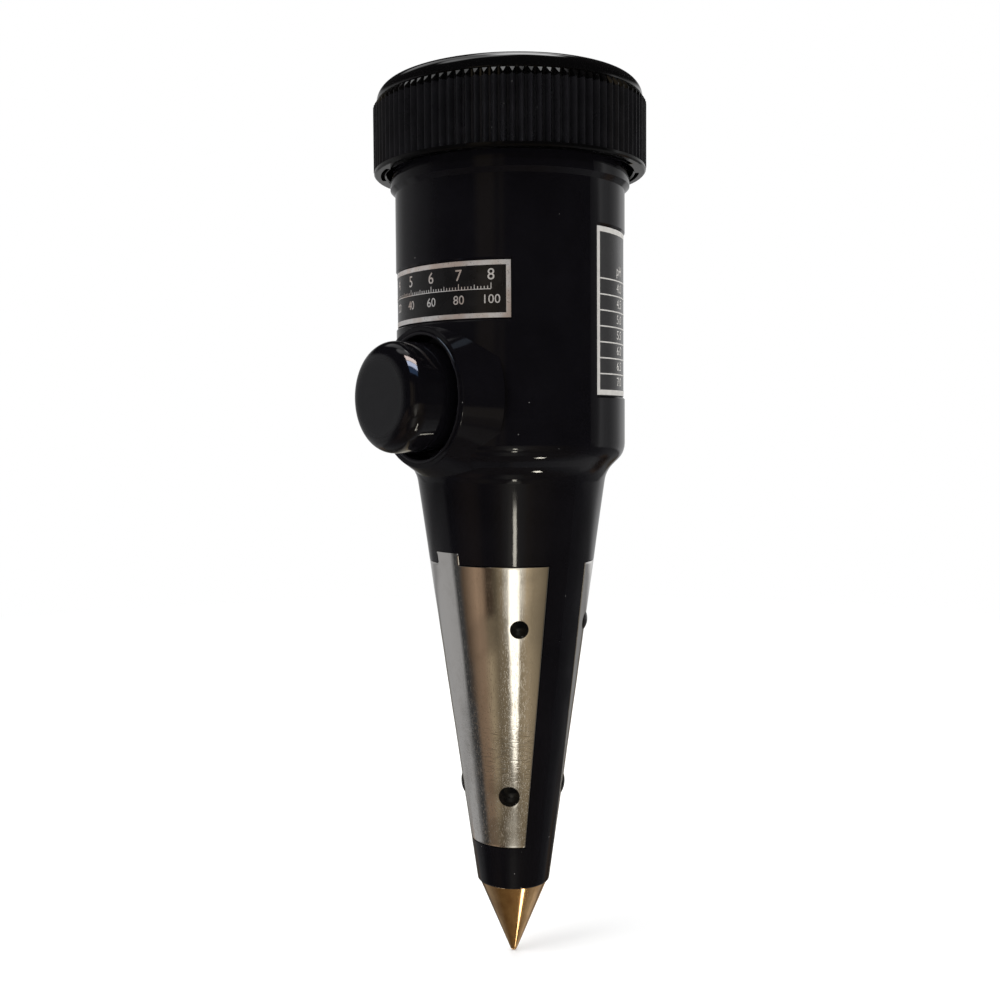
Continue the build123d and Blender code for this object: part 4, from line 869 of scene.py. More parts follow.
def make_piece(
    name: str,
    patch: Patch,
    finish: Finish,
    body: Body,
    smooth_angle: float = 40.0,
) -> bpy.types.Object:
    """Makes a mesh piece from points in millimetres and lets it ride on a body.

    Args:
        name: name of the piece.
        patch: points and faces.
        finish: finish that it wears.
        body: body that it rides on.
        smooth_angle: edges that turn by more degrees than this stay sharp.

    Returns:
        The piece.
    """
    points, faces = patch
    mesh = bpy.data.meshes.new(name)
    mesh.from_pydata((points * MM).tolist(), [], faces.tolist())
    mesh.validate()
    merged = bmesh.new()
    merged.from_mesh(mesh)
    bmesh.ops.remove_doubles(merged, verts=merged.verts, dist=MERGE_GAP)
    bmesh.ops.recalc_face_normals(merged, faces=merged.faces)
    merged.to_mesh(mesh)
    merged.free()
    mesh.shade_smooth()
    mesh.set_sharp_from_angle(angle=math.radians(smooth_angle))
    mesh.materials.append(finish.material())
    piece = bpy.data.objects.new(name, mesh)
    bpy.context.scene.collection.objects.link(piece)
    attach(piece, body.value)
    LOG.info("made %s, %d faces", name, len(mesh.polygons))
    return piece


def rounded_profile(corners: Sequence[Triple], steps: int = 5) -> np.ndarray:
    """Closed outline whose corners are rounded.

    Each corner is replaced by points on the arc that touches its two sides: with the unit directions a
    and b to its neighbours and the half angle h between them, the arc's centre lies radius / sin(h) along
    the bisector, and the arc runs between the feet of that centre on the two sides.

    Args:
        corners: place across, place up and radius of each corner.
        steps: points on each arc, less one.

    Returns:
        Array of points, two coordinates each.
    """
    outline = np.array(corners, float)
    spots, radii = outline[:, :2], outline[:, 2]
    back = np.roll(spots, 1, axis=0) - spots
    ahead = np.roll(spots, -1, axis=0) - spots
    back /= np.linalg.norm(back, axis=1, keepdims=True)
    ahead /= np.linalg.norm(ahead, axis=1, keepdims=True)
    half = np.arccos(np.clip((back * ahead).sum(1), -1, 1)) / 2
    bisector = (back + ahead) / np.linalg.norm(back + ahead, axis=1, keepdims=True)
    centers = spots + bisector * (radii / np.sin(half))[:, None]
    first = spots + back * (radii / np.tan(half))[:, None] - centers
    last = spots + ahead * (radii / np.tan(half))[:, None] - centers
    turn = math.pi - 2 * half
    share = np.linspace(0, 1, steps + 1)[None, :, None]
    sweep = np.maximum(turn, 1e-9)[:, None, None]
    arc = np.sin((1 - share) * sweep) * first[:, None] + np.sin(share * sweep) * last[:, None]
    return (centers[:, None] + arc / np.sin(sweep)).reshape(-1, 2)


def bar(across: Pair, up: Pair, lift: Pair, steps: int = 1) -> Patch:
    """Flat closed bar in strip coordinates: distance across, height and lift off the surface.

    Four corner lines run along the bar, a rectangle of them at each step, and the two ends are closed.

    Args:
        across: where the bar starts and ends across.
        up: its lowest and highest height.
        lift: its lowest and highest lift.
        steps: number of steps along the bar.

    Returns:
        Points and faces.
    """
    along = np.linspace(*across, steps + 1)
    section = np.array([(up[0], lift[0]), (up[1], lift[0]), (up[1], lift[1]), (up[0], lift[1])])
    points = np.empty((steps + 1, 4, 3))
    points[..., 0] = along[:, None]
    points[..., 1:] = section[None]
    faces = grid_faces(steps + 1, 4, wrap_columns=True)
    ends = np.array([[3, 2, 1, 0], [4 * steps, 4 * steps + 1, 4 * steps + 2, 4 * steps + 3]])
    return points.reshape(-1, 3), np.concatenate([faces, ends])


def quads_as_triangles(patch: Patch) -> Patch:
    """The same patch with each quad cut into two triangles."""
    points, faces = patch
    return points, np.concatenate([faces[:, [0, 1, 2]], faces[:, [0, 2, 3]]])


def word_patch(text: str, height: float, lift: Pair, slices: float = 0.0) -> Patch:
    """Plain figures as closed flat solids, in strip coordinates, centred on the origin.

    Args:
        text: figures to set.
        height: height of a figure.
        lift: lowest and highest lift off the surface.
        slices: width of the upright slices that the figures are cut into so that they bend; 0 for none.

    Returns:
        Points and triangles.
    """
    curve = bpy.data.curves.new("figures", "FONT")
    curve.body = text
    curve.align_x = "CENTER"
    curve.align_y = "CENTER"
    curve.extrude = 0.5
    curve.resolution_u = 3
    holder = bpy.data.objects.new("figures", curve)
    bpy.context.scene.collection.objects.link(holder)
    mesh = bpy.data.meshes.new_from_object(holder.evaluated_get(bpy.context.evaluated_depsgraph_get()))
    bpy.data.objects.remove(holder)
    bpy.data.curves.remove(curve)
    work = bmesh.new()
    work.from_mesh(mesh)
    bmesh.ops.remove_doubles(work, verts=work.verts, dist=1e-5)
    tall = 0.7  # height of the font's figures at size 1
    if slices:
        cut = slices * tall / height
        reach = max(abs(v.co.x) for v in work.verts)
        for x in np.arange(-reach + cut, reach, cut):
            everything = [*work.verts, *work.edges, *work.faces]
            bmesh.ops.bisect_plane(work, geom=everything, plane_co=(x, 0, 0), plane_no=(1, 0, 0))
    bmesh.ops.triangulate(work, faces=work.faces)
    work.to_mesh(mesh)
    work.free()
    points = np.empty(len(mesh.vertices) * 3)
    mesh.vertices.foreach_get("co", points)
    points = points.reshape(-1, 3)
    faces = np.empty(len(mesh.polygons) * 3, int)
    mesh.polygons.foreach_get("vertices", faces)
    bpy.data.meshes.remove(mesh)
    points[:, :2] *= height / tall
    points[:, 2] = lift[0] + (points[:, 2] + 0.5) * (lift[1] - lift[0])
    return points, faces.reshape(-1, 3)


def moved(patch: Patch, across: float, up: float) -> Patch:
    """A patch in strip coordinates, shifted across and up."""
    points, faces = patch
    return points + np.array([across, up, 0.0]), faces


def circle(count: int) -> np.ndarray:
    """Angles spread evenly round one turn."""
    return np.linspace(0, FULL_TURN, count, False)


def mark_rise(number: int, rises: Triple) -> float:
    """Height of a scale's mark: the first for every tenth, the second for every fifth, then the third."""
    return rises[0] if number % 10 == 0 else rises[1] if number % 5 == 0 else rises[2]


@dataclass
class Barrel:
    """The black moulding, the lip of its button well and the two printed plates bent round it.

    Each row of scale figures has its numbers, their height and how far over the plate's middle they stand.
    """

    plate_r: float = 20.6
    facing: dict[str, float] = field(default_factory=lambda: {"nameplate": -90.0, "table_plate": 90.0})
    half_angle: dict[str, float] = field(default_factory=lambda: {"nameplate": 49.65, "table_plate": 85.2})
    print_lift: Pair = (-0.02, 0.025)
    bend_steps: int = 64
    edge_steps: int = 3
    inset: float = 0.06
    frame_w: float = 0.8
    table_frame_w: float = 0.9
    slice_w: float = 0.45
    scale_margin: float = 3.4
    scale_line: float = 0.06
    scale_mark: float = 0.07
    scale_gaps: int = 50
    scale_rises: Triple = (0.95, 0.7, 0.45)
    scale_figures: tuple[tuple[range, float, float], ...] = (
        (range(3, 9), 1.9, 2.35),
        (range(0, 101, 20), 1.5, -1.75),
    )
    header_h: float = 8.89
    title_h: float = 1.7
    row_h: float = 2.73
    cell_h: float = 1.55
    rows: int = 7
    columns: int = 4
    rule: float = 0.11
    first_acid: float = 4.0
    acid_step: float = 0.5
    neutral: float = 7.0
    dose: int = 30
    boss_y: float = -21.1
    lip_inner_r: float = 10.75
    lip_outer_r: float = 11.6
    lip_half: float = 0.35
    lip_sunk: float = 0.27
    lip_steps: tuple[int, int] = (240, 16)

    def build(self) -> None:
        """Dresses the moulding and plates, prints both plates and rounds the mouth of the well."""
        dress("housing", HOUSING)
        for node in self.facing:
            dress(node, PLATE_ENAMEL)
        self.print_nameplate()
        self.print_table()
        self.round_well()

    def round_well(self) -> None:
        """Rounded lip at the mouth of the button's well.

        A ring of oval section about the button's axis: at angle t round the axis and angle u round the
        oval, the distance from the axis is its middle radius plus half its width times cos(u), and the
        depth is its middle depth plus half its height times sin(u).
        """
        round_axis, round_oval = self.lip_steps
        turn, tube = np.meshgrid(circle(round_axis), circle(round_oval))
        middle = (self.lip_inner_r + self.lip_outer_r) / 2
        half = (self.lip_outer_r - self.lip_inner_r) / 2
        out = middle + half * np.cos(tube)
        depth = self.boss_y + self.lip_sunk + self.lip_half * np.sin(tube)
        points = np.stack([out * np.cos(turn), depth, BUTTON_Z + out * np.sin(turn)], axis=-1)
        lip = points.reshape(-1, 3), grid_faces(round_oval, round_axis, True, True)
        make_piece("well_lip", lip, HOUSING, Body.CASE, smooth_angle=60.0)

    def wrap(self, patch: Patch, node: str) -> Patch:
        """Bends strip coordinates round the barrel.

        The distance across becomes an angle of distance / radius about the axis, counted from where the
        plate faces, and the lift is added to the radius.

        Args:
            patch: points and faces in strip coordinates.
            node: plate that they lie on.

        Returns:
            Points on the barrel, and the same faces.
        """
        points, faces = patch
        angle = math.radians(self.facing[node]) + points[:, 0] / self.plate_r
        out = self.plate_r + points[:, 2]
        return np.stack([out * np.cos(angle), out * np.sin(angle), points[:, 1]], axis=1), faces

    def extent(self, node: str) -> Triple:
        """Half width along the bend, lowest and highest place of a plate."""
        low, high = (corner[2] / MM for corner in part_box(node))
        return math.radians(self.half_angle[node]) * self.plate_r, low, high

    def border(self, node: str, width: float) -> list[Patch]:
        """Four bars that frame a plate, a little inside its edges.

        Args:
            node: plate to frame.
            width: width of a bar.

        Returns:
            The bars, in strip coordinates.
        """
        half, low, high = self.extent(node)
        half, low, high = half - self.inset, low + self.inset, high - self.inset
        level, upright, lift = (-half, half), (low + width, high - width), self.print_lift
        return [
            bar(level, (low, low + width), lift, self.bend_steps),
            bar(level, (high - width, high), lift, self.bend_steps),
            bar((-half, -half + width), upright, lift, self.edge_steps),
            bar((half - width, half), upright, lift, self.edge_steps),
        ]

    def word(self, text: str, height: float, across: float, up: float) -> Patch:
        """Plain figures at a place across and up, in slices that bend with the plate."""
        return moved(word_patch(text, height, self.print_lift, self.slice_w), across, up)

    def printed(self, name: str, node: str, flat: list[Patch], finish: Finish) -> None:
        """One printed layer of a plate, bent round the barrel."""
        make_piece(name, self.wrap(joined(flat), node), finish, Body.CASE, PRINT_ANGLE)

    def print_nameplate(self) -> None:
        """Silver frame with a plain graduated scale and its figures."""
        half, low, high = self.extent("nameplate")
        self.printed("nameplate_frame", "nameplate", self.border("nameplate", self.frame_w), PLATE_SILVER)
        middle, reach = (low + high) / 2, half - self.scale_margin
        line = middle + self.scale_line
        lift = self.print_lift
        scale = [bar((-reach, reach), (middle - self.scale_line, line), lift, self.bend_steps)]
        for number, across in enumerate(np.linspace(-reach, reach, self.scale_gaps + 1)):
            sides = across - self.scale_mark, across + self.scale_mark
            scale.append(bar(sides, (line, line + mark_rise(number, self.scale_rises)), lift))
        self.printed("nameplate_scale", "nameplate", scale, PLATE_SILVER)
        figures = []
        for numbers, height, up in self.scale_figures:
            for number, across in zip(numbers, np.linspace(-reach, reach, len(numbers))):
                figures.append(self.word(str(number), height, across, middle + up))
        self.printed("nameplate_figures", "nameplate", figures, PLATE_SILVER)

    def print_table(self) -> None:
        """White frame, ruled lines and columns of plain figures: an acidity, then what it needs."""
        half, low, high = self.extent("table_plate")
        width, rule, lift = self.table_frame_w, self.rule, self.print_lift
        self.printed("table_frame", "table_plate", self.border("table_plate", width), TABLE_WHITE)
        inner, top = half - self.inset - width, high - self.header_h
        lines = []
        for number in range(self.rows):
            up = top - number * self.row_h
            lines.append(bar((-inner, inner), (up - rule, up + rule), lift, self.bend_steps))
        edges = np.linspace(-inner, inner, self.columns + 1)
        lines += [bar((x - rule, x + rule), (low + width, high - width), lift) for x in edges[1:-1]]
        self.printed("table_rules", "table_plate", lines, TABLE_WHITE)
        middles = (edges[:-1] + edges[1:]) / 2
        doses = range(1, self.columns)
        titles = ["pH", *map(str, doses)]
        figures = [self.word(t, self.title_h, x, top + self.title_h) for t, x in zip(titles, middles)]
        for number in range(self.rows):
            acid = self.first_acid + self.acid_step * number
            cells = [f"{acid:.1f}", *(str(round(self.dose * n * (self.neutral - acid))) for n in doses)]
            up = top - (number + 0.5) * self.row_h
            figures += [self.word(cell, self.cell_h, x, up) for cell, x in zip(cells, middles)]
        self.printed("table_figures", "table_plate", figures, TABLE_WHITE)


@dataclass
class Probe:
    """The cone's electrode plates with their pegs, and the brass point with its fixings."""

    end_r: float = 6.68
    end_z: float = 14.0
    slope: float = (17.44 - 6.68) / 76.4
    plate_z: Pair = (22.1, 74.2)
    plate_t: float = 0.8
    flat_from: float = 0.5
    plate_rows: int = 190
    side_columns: int = 58
    tab_w: float = 6.0
    tab_h: float = 2.1
    tab_from: float = 0.2
    tab_rows: int = 8
    tab_columns: int = 13
    fold_from: float = 0.3
    fold_depth: float = 2.0
    fold_rows: int = 6
    edge_round: float = 0.16
    peg_drop: Pair = (11.2, 42.2)
    peg_r: Pair = (1.65, 1.9)
    dimple_depth: float = 0.006
    dimple_w: float = 0.25
    waves: tuple[Triple, ...] = ((0.012, 0.31, 2.0), (0.008, 0.83, -3.1))
    calm_w: float = 3.0
    sides: dict[str, tuple[int, Pair, Pair]] = field(
        default_factory=lambda: {
            "front_electrode": (-1, (3.25, 3.95), (4.1, 3.15)),
            "rear_electrode": (1, (4.5, 5.1), (3.4, 2.6)),
        }
    )

    def build(self) -> None:
        """Models the two plates and dresses the rest."""
        for node, (side, gaps, insets) in self.sides.items():
            self.plate(node, side, gaps, insets)
        dress("electrode_pegs", PEG)
        dress("probe_tip", BRASS_TIP)
        dress("tip_seal", RUBBER)
        dress("tip_lug", BRIDGE_BRASS)
        dress("tip_nut", SMALL_STEEL)

    def radius(self, z: np.ndarray) -> np.ndarray:
        """Radius of the cone at a height."""
        return self.end_r + self.slope * (z - self.end_z)

    def peg_spots(self, gaps: Pair, insets: Pair) -> list[tuple[float, ...]]:
        """Places of the pegs, on both sides of the plate's middle.

        Args:
            gaps: distance of the plate's edge from the middle plane, at its foot and at its top.
            insets: how far the upper and lower pegs stand in from that edge.

        Returns:
            Angle from the plate's middle, height and radius of each peg.
        """
        spots = []
        low, high = self.plate_z
        for drop, inset, peg_r in zip(self.peg_drop, insets, self.peg_r):
            z = high - drop
            edge = gaps[0] + (gaps[1] - gaps[0]) * (z - low) / (high - low)
            angle = math.acos((edge + inset) / self.radius(z))
            spots += [(-angle, z, peg_r), (angle, z, peg_r)]
        return spots

    def plate(self, node: str, side: int, gaps: Pair, insets: Pair) -> None:
        """Electrode plate, wrapped on the cone.

        The surface runs over a share u of the plate's half angle and a height z. The half angle at z is the
        arc cosine of the plate edge's distance from the middle plane over the cone's radius. The radius is
        the cone's, less a rounding drop near the edges and a smooth dish round each peg, plus slow waves up
        to two hundredths of a millimetre high: each is its height times the sine of a times z plus b times
        the angle, and they fade out towards the edges. Rows above the plate keep only the tab's columns,
        then turn in.

        Args:
            node: CAD node that it replaces.
            side: -1 at the front, 1 at the rear.
            gaps: distance of the plate's edge from the middle plane, at its foot and at its top.
            insets: how far the upper and lower pegs stand in from that edge.
        """
        low, high = self.plate_z
        tab_top = high + self.tab_h
        rim = np.array([0.0, 0.3, 0.7, 1.0]) * self.edge_round
        flat = np.linspace(low + self.flat_from, high - self.flat_from, self.plate_rows)
        z_plate = np.concatenate([low + rim, flat, high - rim[::-1]])
        z_tab = np.linspace(high + self.tab_from, tab_top, self.tab_rows)
        fold = np.linspace(self.fold_from, self.fold_depth, self.fold_rows)
        rows_z = np.concatenate([z_plate, z_tab, np.full(len(fold), tab_top)])
        fold_in = np.concatenate([np.zeros(len(z_plate) + len(z_tab)), fold])
        top_r = self.radius(high)
        top_half = math.acos(gaps[1] / top_r)
        tab_share = math.asin(self.tab_w / 2 / top_r) / top_half
        edge = 1 - rim / (top_r * top_half)
        tab_u = np.linspace(0, tab_share, self.tab_columns)
        side_u = np.linspace(tab_share, edge[-1], self.side_columns)[1:-1]
        half_u = np.concatenate([tab_u, side_u, edge[::-1]])
        u = np.concatenate([-half_u[:0:-1], half_u])
        along = np.clip((rows_z - low) / (high - low), 0, 1)
        gap = gaps[0] + (gaps[1] - gaps[0]) * along
        cone_r = self.radius(rows_z)
        half_angle = np.arccos(gap / self.radius(np.minimum(rows_z, high)))
        angle = u[None, :] * half_angle[:, None]
        z = np.broadcast_to(rows_z[:, None], angle.shape).copy()
        to_side = (1 - np.abs(u))[None, :] * half_angle[:, None] * cone_r[:, None]
        to_foot = z - low
        under_tab = np.abs(angle) < tab_share * top_half + TINY
        to_top = np.where(under_tab, math.inf, np.abs(high - z))
        near = np.minimum(np.minimum(to_side, to_foot), to_top)
        past = np.clip(1 - near / self.edge_round, 0, 1)
        drop = self.edge_round * (1 - np.sqrt(1 - past * past))
        for peg_angle, peg_z, peg_r in self.peg_spots(gaps, insets):
            away = np.hypot((angle - peg_angle) * cone_r[:, None], z - peg_z)
            bowl = np.clip(1 - (away - peg_r) / self.dimple_w, 0, 1)
            drop += self.dimple_depth * bowl * bowl * (3 - 2 * bowl)
        wave = sum(h * np.sin(z * a + b * angle + n * side) for n, (h, a, b) in enumerate(self.waves))
        out = cone_r[:, None] - drop + wave * np.clip(near / self.calm_w, 0, 1) - fold_in[:, None]
        turn = side * math.pi / 2 + angle
        points = np.stack([out * np.cos(turn), out * np.sin(turn), z], axis=-1).reshape(-1, 3)
        faces = grid_faces(len(rows_z), len(u))
        tall = faces // len(u)
        over = tall.max(axis=1) >= len(z_plate)
        inside = (np.abs(u[faces % len(u)]) <= tab_share + TINY).all(axis=1)
        faces = faces[~over | inside]
        used = np.unique(faces)
        renumber = np.zeros(len(points), int)
        renumber[used] = np.arange(len(used))
        name, patch = node.replace("electrode", "plate"), (points[used], renumber[faces])
        piece = make_piece(name, patch, ELECTRODE, Body.CASE, smooth_angle=50.0)
        self.thicken(piece, side)
        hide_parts(node)

    def thicken(self, piece: bpy.types.Object, side: int) -> None:
        """Turns the plate's faces outwards and gives it its thickness, inwards.

        Args:
            piece: the plate.
            side: -1 at the front, 1 at the rear.
        """
        mesh = piece.data
        middle = mesh.polygons[len(mesh.polygons) // 2]
        if middle.normal.y * side < 0:
            mesh.flip_normals()
        shell = piece.modifiers.new("thickness", "SOLIDIFY")
        shell.thickness = self.plate_t * MM
        shell.offset = -1.0


@dataclass
class Bezel:
    """Ribbed screw ring over the dial, with the window and gasket that it holds down."""

    foot_z: float = 144.1
    top_z: float = 160.0
    crest_r: float = 24.7
    root_r: float = 23.7
    bore_r: float = 22.4
    rim_r: float = 24.05
    rim_round: float = 2.9
    rim_steps: int = 15
    rim_foot_z: float = 157.0
    rim_foot_step: Pair = (0.06, 0.05)
    lip_r: float = 17.4
    lip_bevel: float = 1.0
    window_top_z: float = 157.5
    window_bore_r: float = 21.5
    seat_z: float = 155.3
    rib_top_z: float = 157.317
    rib_count: int = 100
    rib_foot_w: float = 1.2
    rib_crest_w: float = 0.12
    rib_top_slope: float = 1.268
    rib_rows: int = 4
    flank_steps: int = 5
    corner_steps: int = 3
    bore_bevel: float = 0.2
    foot_r: float = 24.6
    foot_h: float = 0.7
    foot_bevel: float = 0.25
    pocket_count: int = 8
    pocket_start: float = 13.0
    pocket_angle: float = 26.0
    pocket_r: float = 23.05
    pocket_w: float = 0.7
    pocket_depth: float = 2.2
    pocket_end: float = 0.4
    pocket_brink: Pair = (0.02, 0.01)

    def build(self) -> None:
        """Models the ring and dresses the window and gasket."""
        ring = make_piece("bezel_shell", self.ring(), BEZEL, Body.BEZEL, smooth_angle=32.0)
        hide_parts("bezel_ring")
        dress("window", WINDOW)
        dress("window_gasket", RUBBER)

    def flank(self) -> np.ndarray:
        """Places across half a rib, from the middle of the gap beside it to its crest.

        Returns:
            Distances from the middle of the rib.
        """
        half_pitch = math.pi / self.rib_count * self.root_r
        slope = np.linspace(self.rib_foot_w / 2, self.rib_crest_w / 2, self.flank_steps)
        return np.concatenate([[half_pitch], slope, [0.0]])

    def rib(self, across: np.ndarray) -> np.ndarray:
        """Height of a rib over the ring's root: a straight flank up to its crest.

        Args:
            across: distances from the middle of the rib.

        Returns:
            The height at each.
        """
        half_foot, half_crest = self.rib_foot_w / 2, self.rib_crest_w / 2
        share = np.clip((half_foot - np.abs(across)) / (half_foot - half_crest), 0, 1)
        return (self.crest_r - self.root_r) * share

    def outline(self) -> tuple[np.ndarray, np.ndarray]:
        """Section of the ring, closed, going up outside and down the bore.

        Returns:
            Radius and height of each point, and how high a rib may stand there.
        """
        tall = self.crest_r - self.root_r
        steps = self.rib(self.flank())[1:-1]
        falls = (self.rib_top_z - self.rib_top_slope * steps / tall)[::-1]
        foot_top = self.foot_z + self.foot_h
        middle = np.linspace(foot_top, falls[0], self.rib_rows + 1)[:-1]
        heights = np.concatenate([middle, np.minimum(falls, self.rim_foot_z)])
        room = np.concatenate([np.full(self.rib_rows, tall), steps[::-1]])
        room[-1] = tall * (self.rib_top_z - self.rim_foot_z) / self.rib_top_slope
        half_w = self.pocket_w / 2
        beyond, within = self.pocket_brink
        brinks = (-half_w - beyond, -half_w + within, half_w - within, half_w + beyond)
        bore_foot = self.foot_z + self.bore_bevel
        foot = [(self.bore_r + self.bore_bevel, self.foot_z)]
        foot += [(self.pocket_r + brink, self.foot_z) for brink in brinks]
        foot += [(self.foot_r - self.foot_bevel, self.foot_z), (self.foot_r, self.foot_z + self.foot_bevel)]
        foot += [(self.foot_r, foot_top)]
        side = [(self.root_r, z) for z in heights]
        step_in, step_up = self.rim_foot_step
        center_r, center_z = self.rim_r - self.rim_round, self.top_z - self.rim_round
        rim = [(self.rim_r - step_in, self.rim_foot_z), (self.rim_r, self.rim_foot_z + step_up)]
        turn = np.linspace(0, math.pi / 2, self.rim_steps)
        quarter = np.stack([np.cos(turn), np.sin(turn)], axis=1)
        crown = np.array([center_r, center_z]) + self.rim_round * quarter
        corners = [
            (self.lip_r + self.lip_bevel, self.top_z, 0.25),
            (self.lip_r, self.top_z - self.lip_bevel, 0.2),
            (self.lip_r, self.window_top_z, 0.1),
            (self.window_bore_r, self.window_top_z, 0.05),
            (self.window_bore_r, self.seat_z, 0.05),
            (self.bore_r, self.seat_z, 0.05),
            (self.bore_r, bore_foot, 0.0),
        ]
        closing = [(center_r, bore_foot, 0.0), (center_r, self.top_z, 0.0)]
        rest = rounded_profile(corners + closing, self.corner_steps)[: len(corners) * (self.corner_steps + 1)]
        gaps = np.linalg.norm(np.diff(rest, axis=0, prepend=rest[:1] - 1), axis=1)
        points = np.concatenate([foot, side, rim, crown, rest[gaps > TINY]])
        limit = np.zeros(len(points))
        limit[len(foot) : len(foot) + len(room)] = room
        return points, limit

    def ring(self) -> Patch:
        """The ring's surface: its section carried round the axis, with ribs outside.

        At angle t the outside stands over the root by the lesser of the rib's height there and the height
        that is left at the rib's sloping top. Rows and columns are set where these two heights meet, so
        that the tops' edges run along the cuts of the quads. A plain band runs round the foot under the
        ribs, and the underside is raised inside each pocket's angle.

        Returns:
            Points and triangles.
        """
        section, limit = self.outline()
        flank = self.flank()
        across = np.concatenate([-flank, flank[-2:0:-1]])
        pitch = FULL_TURN / self.rib_count
        angle = (np.arange(self.rib_count)[:, None] * pitch + across[None] / self.root_r).ravel()
        rib = np.tile(self.rib(across), self.rib_count)
        r, z = section[:, 0], section[:, 1]
        out = r[:, None] + np.minimum(rib[None, :], limit[:, None])
        slot = (np.abs(z - self.foot_z) < TINY) & (np.abs(r - self.pocket_r) < self.pocket_w / 2)
        step = FULL_TURN / self.pocket_count
        off = np.abs((angle - math.radians(self.pocket_start) + step / 2) % step - step / 2)
        inside = np.clip((math.radians(self.pocket_angle / 2) - off) / math.radians(self.pocket_end), 0, 1)
        height = z[:, None] + self.pocket_depth * slot[:, None] * inside[None, :]
        points = np.stack([out * np.cos(angle), out * np.sin(angle), height], axis=-1)
        faces = grid_faces(len(section), len(angle), True, True)
        turned = np.tile(across, self.rib_count)[faces[:, 0] % len(angle)] < -TINY
        faces[turned] = np.roll(faces[turned], -1, axis=1)
        return quads_as_triangles((points.reshape(-1, 3), faces))


@dataclass
class Dial:
    """Dial plate with its printed scales, the pointer over it and the ring that clamps it."""

    surface_z: float = 150.4
    pivot_y: float = -5.0
    sweep: Pair = (135.0, 45.0)
    scale_r: float = 15.7
    inner_r: float = 13.4
    print_t: float = 0.03
    line_w: float = 0.16
    fine_w: float = 0.1
    arc_steps: int = 60
    mark_rises: Triple = (1.25, 0.9, 0.55)
    figure_gap: float = 1.75
    symbol_h: float = 2.4
    symbol_y: float = 2.6
    finishes: dict[str, Finish] = field(
        default_factory=lambda: {
            "dial_plate": DIAL_PAINT,
            "dial_screws": SMALL_STEEL,
            "spacer_ring": SPACER,
            "pointer_stops": BRIDGE_BRASS,
            "pointer": POINTER_PAINT,
            "balance_weights": BRIDGE_BRASS,
        }
    )

    def build(self) -> None:
        """Dresses the dial's pieces and prints the scales."""
        for node, finish in self.finishes.items():
            dress(node, finish)
        self.print_scale("acid_scale", self.scale_r, 1, range(3, 9), 1.75, DIAL_BLACK)
        self.print_scale("moisture_scale", self.inner_r, -1, range(0, 101, 20), 1.3, DIAL_RED)
        symbol = moved(word_patch("pH", self.symbol_h, (0, self.print_t)), 0.0, self.symbol_y)
        self.printed("acid_symbol", symbol, DIAL_BLACK)

    def printed(self, name: str, patch: Patch, finish: Finish) -> None:
        """One printed layer, lifted from the dial's own plane onto its surface.

        Args:
            name: name of the piece.
            patch: points and faces on the dial's plane.
            finish: ink of the layer.
        """
        points, faces = patch
        raised = points + np.array([0.0, 0.0, self.surface_z]), faces
        make_piece(name, raised, finish, Body.CASE, PRINT_ANGLE)

    def turn(self, share: Union[float, np.ndarray]) -> Union[float, np.ndarray]:
        """Angle about the pivot at a share of the pointer's sweep."""
        return np.radians(self.sweep[0] + (self.sweep[1] - self.sweep[0]) * share)

    def spun(self, patch: Patch, angle: float) -> Patch:
        """A patch turned about the pivot.

        Args:
            patch: points and faces, counted from the pivot.
            angle: turn about the pivot.

        Returns:
            Points on the dial's plane, and the same faces.
        """
        points, faces = patch
        x = points[:, 0] * math.cos(angle) - points[:, 1] * math.sin(angle)
        y = points[:, 0] * math.sin(angle) + points[:, 1] * math.cos(angle)
        return np.stack([x, y + self.pivot_y, points[:, 2]], axis=1), faces

    def arc(self, radius: float) -> Patch:
        """Arc about the pivot over the pointer's sweep: a rectangle carried round it, with closed ends.

        Args:
            radius: radius of the arc's middle.

        Returns:
            Points and faces.
        """
        half_w = self.line_w / 2
        points, faces = bar((0, 1), (radius - half_w, radius + half_w), (0, self.print_t), self.arc_steps)
        turn = self.turn(points[:, 0])
        x, y = points[:, 1] * np.cos(turn), self.pivot_y + points[:, 1] * np.sin(turn)
        return np.stack([x, y, points[:, 2]], axis=1), faces

    def print_scale(
        self, name: str, radius: float, toward: int, figures: Sequence[int], height: float, finish: Finish
    ) -> None:
        """One scale: its arc, its marks and its figures.

        Args:
            name: name of the piece.
            radius: radius of the arc about the pivot.
            toward: 1 where marks and figures stand outside the arc, -1 inside.
            figures: plain numbers spread evenly over the sweep.
            height: height of a figure.
            finish: ink of the scale.
        """
        solids = [self.arc(radius)]
        gaps = len(figures) - 1
        count = gaps * 10
        lift = (0, self.print_t)
        for number in range(count + 1):
            ends = sorted((radius, radius + toward * mark_rise(number, self.mark_rises)))
            half_w = (self.line_w if number % 10 == 0 else self.fine_w) / 2
            solids.append(self.spun(bar(ends, (-half_w, half_w), lift), self.turn(number / count)))
        layer = [quads_as_triangles(solid) for solid in solids]
        reach = radius + toward * (self.figure_gap + height / 2)
        for number, figure in enumerate(figures):
            upright = moved(word_patch(str(figure), height, lift), 0.0, reach)
            layer.append(self.spun(upright, self.turn(number / gaps) - math.pi / 2))
        self.printed(name, joined(layer), finish)


